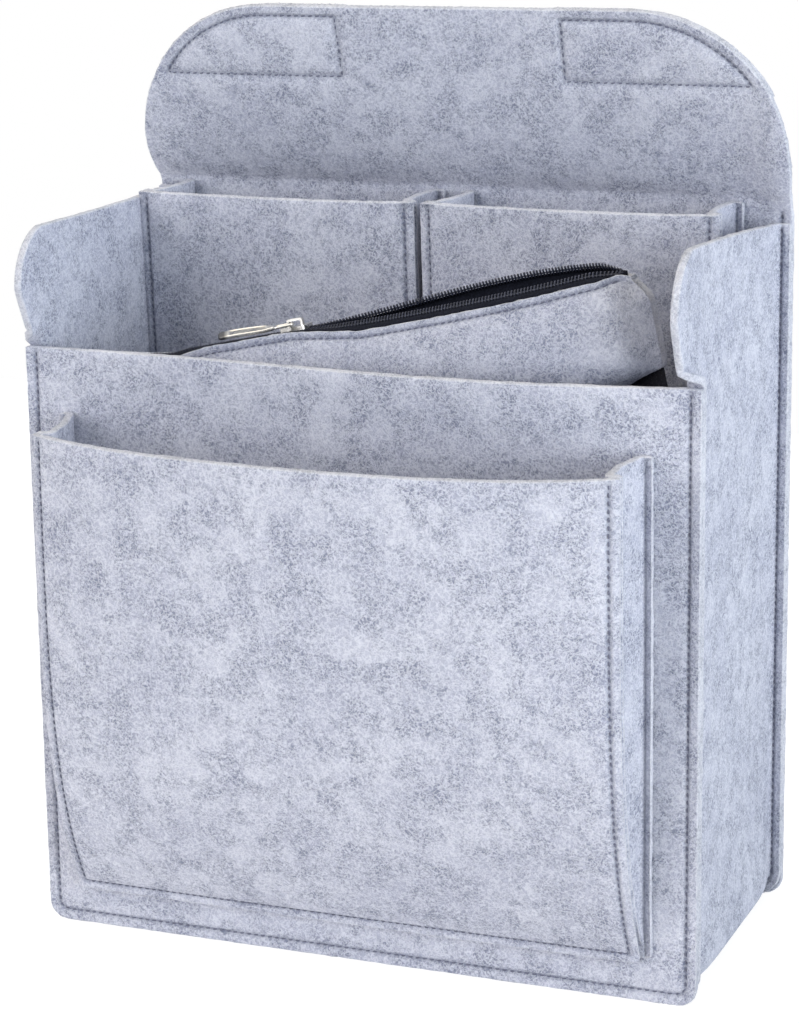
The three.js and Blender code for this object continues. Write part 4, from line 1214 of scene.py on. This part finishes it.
def hook_strip():
    half = POUCH_FLAT_HALF - CUT_ROUND
    u, v = np.meshgrid(eased(half, 90), np.linspace(HOOK_EDGE, HOOK_HEIGHT - HOOK_EDGE, 9))
    verts, faces = sheet_mesh(hook_surface(u, v), np.zeros(u.shape), HOOK_BACKING, 62)
    obj = hard_piece("pouch_hook_strip_backing", "pouch_hook_strip", verts, faces, HOOK_LOOK)
    rng = np.random.default_rng(63)
    across = np.arange(-half + 1.5, half - 1, HOOK_PITCH)
    grid_u, grid_v = np.meshgrid(across, np.arange(1.2, HOOK_HEIGHT - 0.6, HOOK_ROW))
    base_u = grid_u.ravel() + rng.uniform(-0.3, 0.3, grid_u.size)
    base_v = grid_v.ravel() + rng.uniform(-0.2, 0.2, grid_u.size)
    turn = rng.uniform(-HOOK_TURN, HOOK_TURN, grid_u.size)
    out, curl, thick = HOOK_PROFILE.T
    hooks_u = base_u[:, None] + curl * np.cos(turn)[:, None]
    hooks_v = base_v[:, None] + curl * np.sin(turn)[:, None]
    path = hook_surface(hooks_u, hooks_v) - out[:, None] * BACKWARD
    hooks = make_object("pouch_hook_strip_hooks", *tube(path, POUCH_UP, thick * HOOK_RADIUS, 4), HOOK_LOOK)
    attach(hooks, "pouch")


for hand, side in (("front", -1), ("back", 1)):
    zipper_tape("zipper_tape_" + hand, side)
    zipper_coil("zipper_teeth_" + hand, side)
hook_strip()


# Slider: the frame's own solid, with its edges rounded over
slider = frame["nodes"]["zipper_slider"]
slider.data.materials.clear()
slider.data.materials.append(NICKEL_LOOK)
rounding = slider.modifiers.new("rounded_edges", "BEVEL")
rounding.width = 0.22 * MM
rounding.segments = 3
rounding.limit_method = "ANGLE"

# Pull: a wire ring under the bridge and a cast tab with a sunk face, lying over the felt edge
PULL_LENGTH = 28
PULL_RING = 7.4
PULL_RING_HALF = 2.6
PULL_RING_CORNER = 0.8
PULL_RING_END = 1
PULL_WIRE = 0.5
PULL_SWAY = 0.15
PULL_DIP = 0.052
PULL_ROLL = math.radians(22)
PULL_ROLL_RISE = PULL_RING - 1.5, 4
PULL_LIFT = 2.3
PULL_SQUARE = 0.35
PULL_TAB_FROM = 6.6
PULL_SUNK = 0.3
PULL_SUNK_FROM = 3.6
PULL_SUNK_TO = 16.8
PULL_SUNK_WIDTH = 0.72
PULL_TIP = 17.5, 1.2
# Painted shade on the pull tab: how dark its tip and its sunk face are painted.
PULL_TIP_SHADE = 0.9
PULL_SUNK_SHADE = 0.35
# Sections of the tab: place along it, half its width and half its height
PULL_SECTIONS = np.array([
    (0, 0.5, 0.3), (0.25, 1.1, 0.6), (1, 1.5, 0.75), (2, 1.6, 0.75), (3.4, 1.8, 0.75), (3.8, 1.85, 0.75),
    (6, 2.1, 0.75), (10, 2.3, 0.75), (14, 2.3, 0.75), (16.6, 2.3, 0.75), (17, 2.3, 0.75), (17.4, 2.3, 0.75),
    (19.2, 2.3, 0.75), (20.4, 2.2, 0.72), (21.1, 1.8, 0.6), (21.4, 1.2, 0.35)])


def pull_point(along, across, up):
    """A place on the pull: along from its hinge to its tip, across to the back, up off its upper face."""
    along, across, up = np.broadcast_arrays(along, across, up)
    hinge = np.array(JOINTS["pull_turn"]["axis"])
    way = unit(np.cross(POUCH_UP, hinge) - PULL_SWAY * BACKWARD - PULL_DIP * POUCH_UP)
    over = unit(hinge - way * (hinge @ way))
    rise = np.cross(over, way) * np.sign(np.cross(over, way) @ POUCH_UP)
    roll = PULL_ROLL * ramp(along, *PULL_ROLL_RISE)
    flat = across * np.cos(roll) - up * np.sin(roll)
    high = across * np.sin(roll) + up * np.cos(roll) + PULL_LIFT * smooth(along / PULL_LENGTH)
    start = np.array(JOINTS["pull_turn"]["pos_m"]) / MM
    return start + along[..., None] * way + flat[..., None] * over + high[..., None] * rise


def pull_ring():
    """The ring's wire, with small corners at the bridge and larger ones at the tab."""
    far = PULL_RING - PULL_WIRE - PULL_RING_END
    near = PULL_RING_CORNER
    far_side, near_side = PULL_RING_HALF - PULL_RING_END, PULL_RING_HALF - near
    loop = [*arc((far, far_side), PULL_RING_END, 0, 90, 5), *arc((near, near_side), near, 90, 180, 5),
            *arc((near, -near_side), near, 180, 270, 5), *arc((far, -far_side), PULL_RING_END, 270, 360, 5)]
    ring = np.array([*loop, *loop[:2]])
    return tube(pull_point(ring[:, 0], ring[:, 1], 0)[None], POUCH_UP, PULL_WIRE, 8)


def squared(value):
    """A sine or cosine flattened at its peaks, for sections with rounded corners."""
    return np.sign(value) * np.abs(value) ** PULL_SQUARE


def pull_tab():
    turn = np.linspace(0, math.tau, 36, endpoint=False)
    wide, tall = squared(np.cos(turn)), squared(np.sin(turn))
    along, width, height = PULL_SECTIONS.T[..., None]
    sunk = (along > PULL_SUNK_FROM) & (along < PULL_SUNK_TO) & (np.abs(wide) < PULL_SUNK_WIDTH)
    rows = pull_point(along + PULL_TAB_FROM, width * wide, height * tall - np.sign(tall) * PULL_SUNK * sunk)
    ring = pull_ring()
    verts, faces = joined([ring, (rows.reshape(-1, 3), tube_faces(1, *rows.shape[:2]))])
    obj = hard_piece("zipper_pull_tab", "zipper_pull", verts, faces, NICKEL_LOOK, "zip_pull")
    # Painted shade: the tab is darkened at its tip and in its sunk face.
    tip = PULL_TIP_SHADE * ramp(along, *PULL_TIP)
    painted_dark = np.maximum(tip, PULL_SUNK_SHADE * sunk)
    mark(obj, "pull_shade", np.concatenate([np.zeros(len(ring[0])), painted_dark.ravel()]))


pull_tab()


# Stage: a pale floor, soft light and the camera at the photograph's viewing angle
CAMERA_AZIMUTH = math.radians(22.1)
CAMERA_ELEVATION = math.radians(14.05)
CAMERA_ROLL = math.radians(-0.86)
CAMERA_DISTANCE = 1.1534
CAMERA_TARGET = Vector((-0.00588, 0.02565, 0.16015))
CAMERA_LENS = 105.43
CAMERA_SENSOR = 36
WHITE = (1, 1, 1, 1)
WORLD_COLOUR = (0.30, 0.62, 1.0, 1)
WORLD_LIGHT = 0.15
FLOOR_REACH = 0.9
FLOOR_GLOW = 1.22
FLOOR_GLOW_SHARE = 0.75


def add_camera():
    data = bpy.data.cameras.new("camera")
    data.lens = CAMERA_LENS
    data.sensor_width = CAMERA_SENSOR
    camera = linked("camera", data)
    turn = Matrix.Rotation(CAMERA_AZIMUTH, 4, "Z") @ Matrix.Rotation(math.pi / 2 - CAMERA_ELEVATION, 4, "X")
    turn = turn @ Matrix.Rotation(CAMERA_ROLL, 4, "Z")
    away = Matrix.Translation((0, 0, CAMERA_DISTANCE))
    camera.matrix_world = Matrix.Translation(CAMERA_TARGET) @ turn @ away
    bpy.context.scene.camera = camera


def add_sun(name, place, strength, spread_deg, colour):
    """Even light from the direction of a place, softened over an angle."""
    data = bpy.data.lights.new(name, "SUN")
    data.energy = strength
    data.angle = math.radians(spread_deg)
    data.color = colour
    light = linked(name, data)
    light.rotation_mode = "QUATERNION"
    light.rotation_quaternion = (-Vector(place)).to_track_quat("-Z", "Y")


def add_world():
    world = bpy.data.worlds.new("studio")
    bpy.context.scene.world = world
    nodes = Nodes(world)
    lit = nodes.finish("Background", {"Color": WORLD_COLOUR, "Strength": WORLD_LIGHT})
    white = nodes.add("Background", 0, {"Color": WHITE, "Strength": 1})
    nodes.choose("World Output", nodes.seen_directly(), lit, white)


def add_floor():
    material, nodes = look("floor")
    grain = nodes.noise(scale=30, detail=2, roughness=0.5)
    tone = nodes.mixed(grain, (0.90, 0.90, 0.90, 1), (0.93, 0.93, 0.93, 1))
    inputs = {"Base Color": tone, "Roughness": 0.9, "Specular IOR Level": 0.05}
    lit = nodes.finish("Principled BSDF", inputs)
    glow = nodes.add("Emission", 0, {"Strength": FLOOR_GLOW})
    share = nodes.maths("MULTIPLY", nodes.seen_directly(), FLOOR_GLOW_SHARE)
    nodes.choose("Material Output", share, lit, glow)
    mesh = bpy.data.meshes.new("floor")
    edge = [(x * FLOOR_REACH, y * FLOOR_REACH, 0) for x, y in ((-1, -1), (1, -1), (1, 1), (-1, 1))]
    mesh.from_pydata(edge, [], [(0, 1, 2, 3)])
    mesh.materials.append(material)
    linked("floor", mesh)


add_camera()
add_world()
add_floor()
add_sun("key", (-0.6, -0.9, 0.33), 1.62, 45, (0.98, 0.965, 1.0))
add_sun("fill", (1.0, -0.35, 0.1), 2.9, 50, (0.85, 0.91, 1.0))
add_sun("top", (-0.15, -0.2, 1.0), 1.5, 60, (1.0, 0.89, 0.72))
add_sun("back", (-0.15, 1.0, 0.3), 1.7, 50, (0.93, 0.95, 1.0))
bpy.context.scene.view_settings.view_transform = "Standard"

bpy.context.view_layer.update()
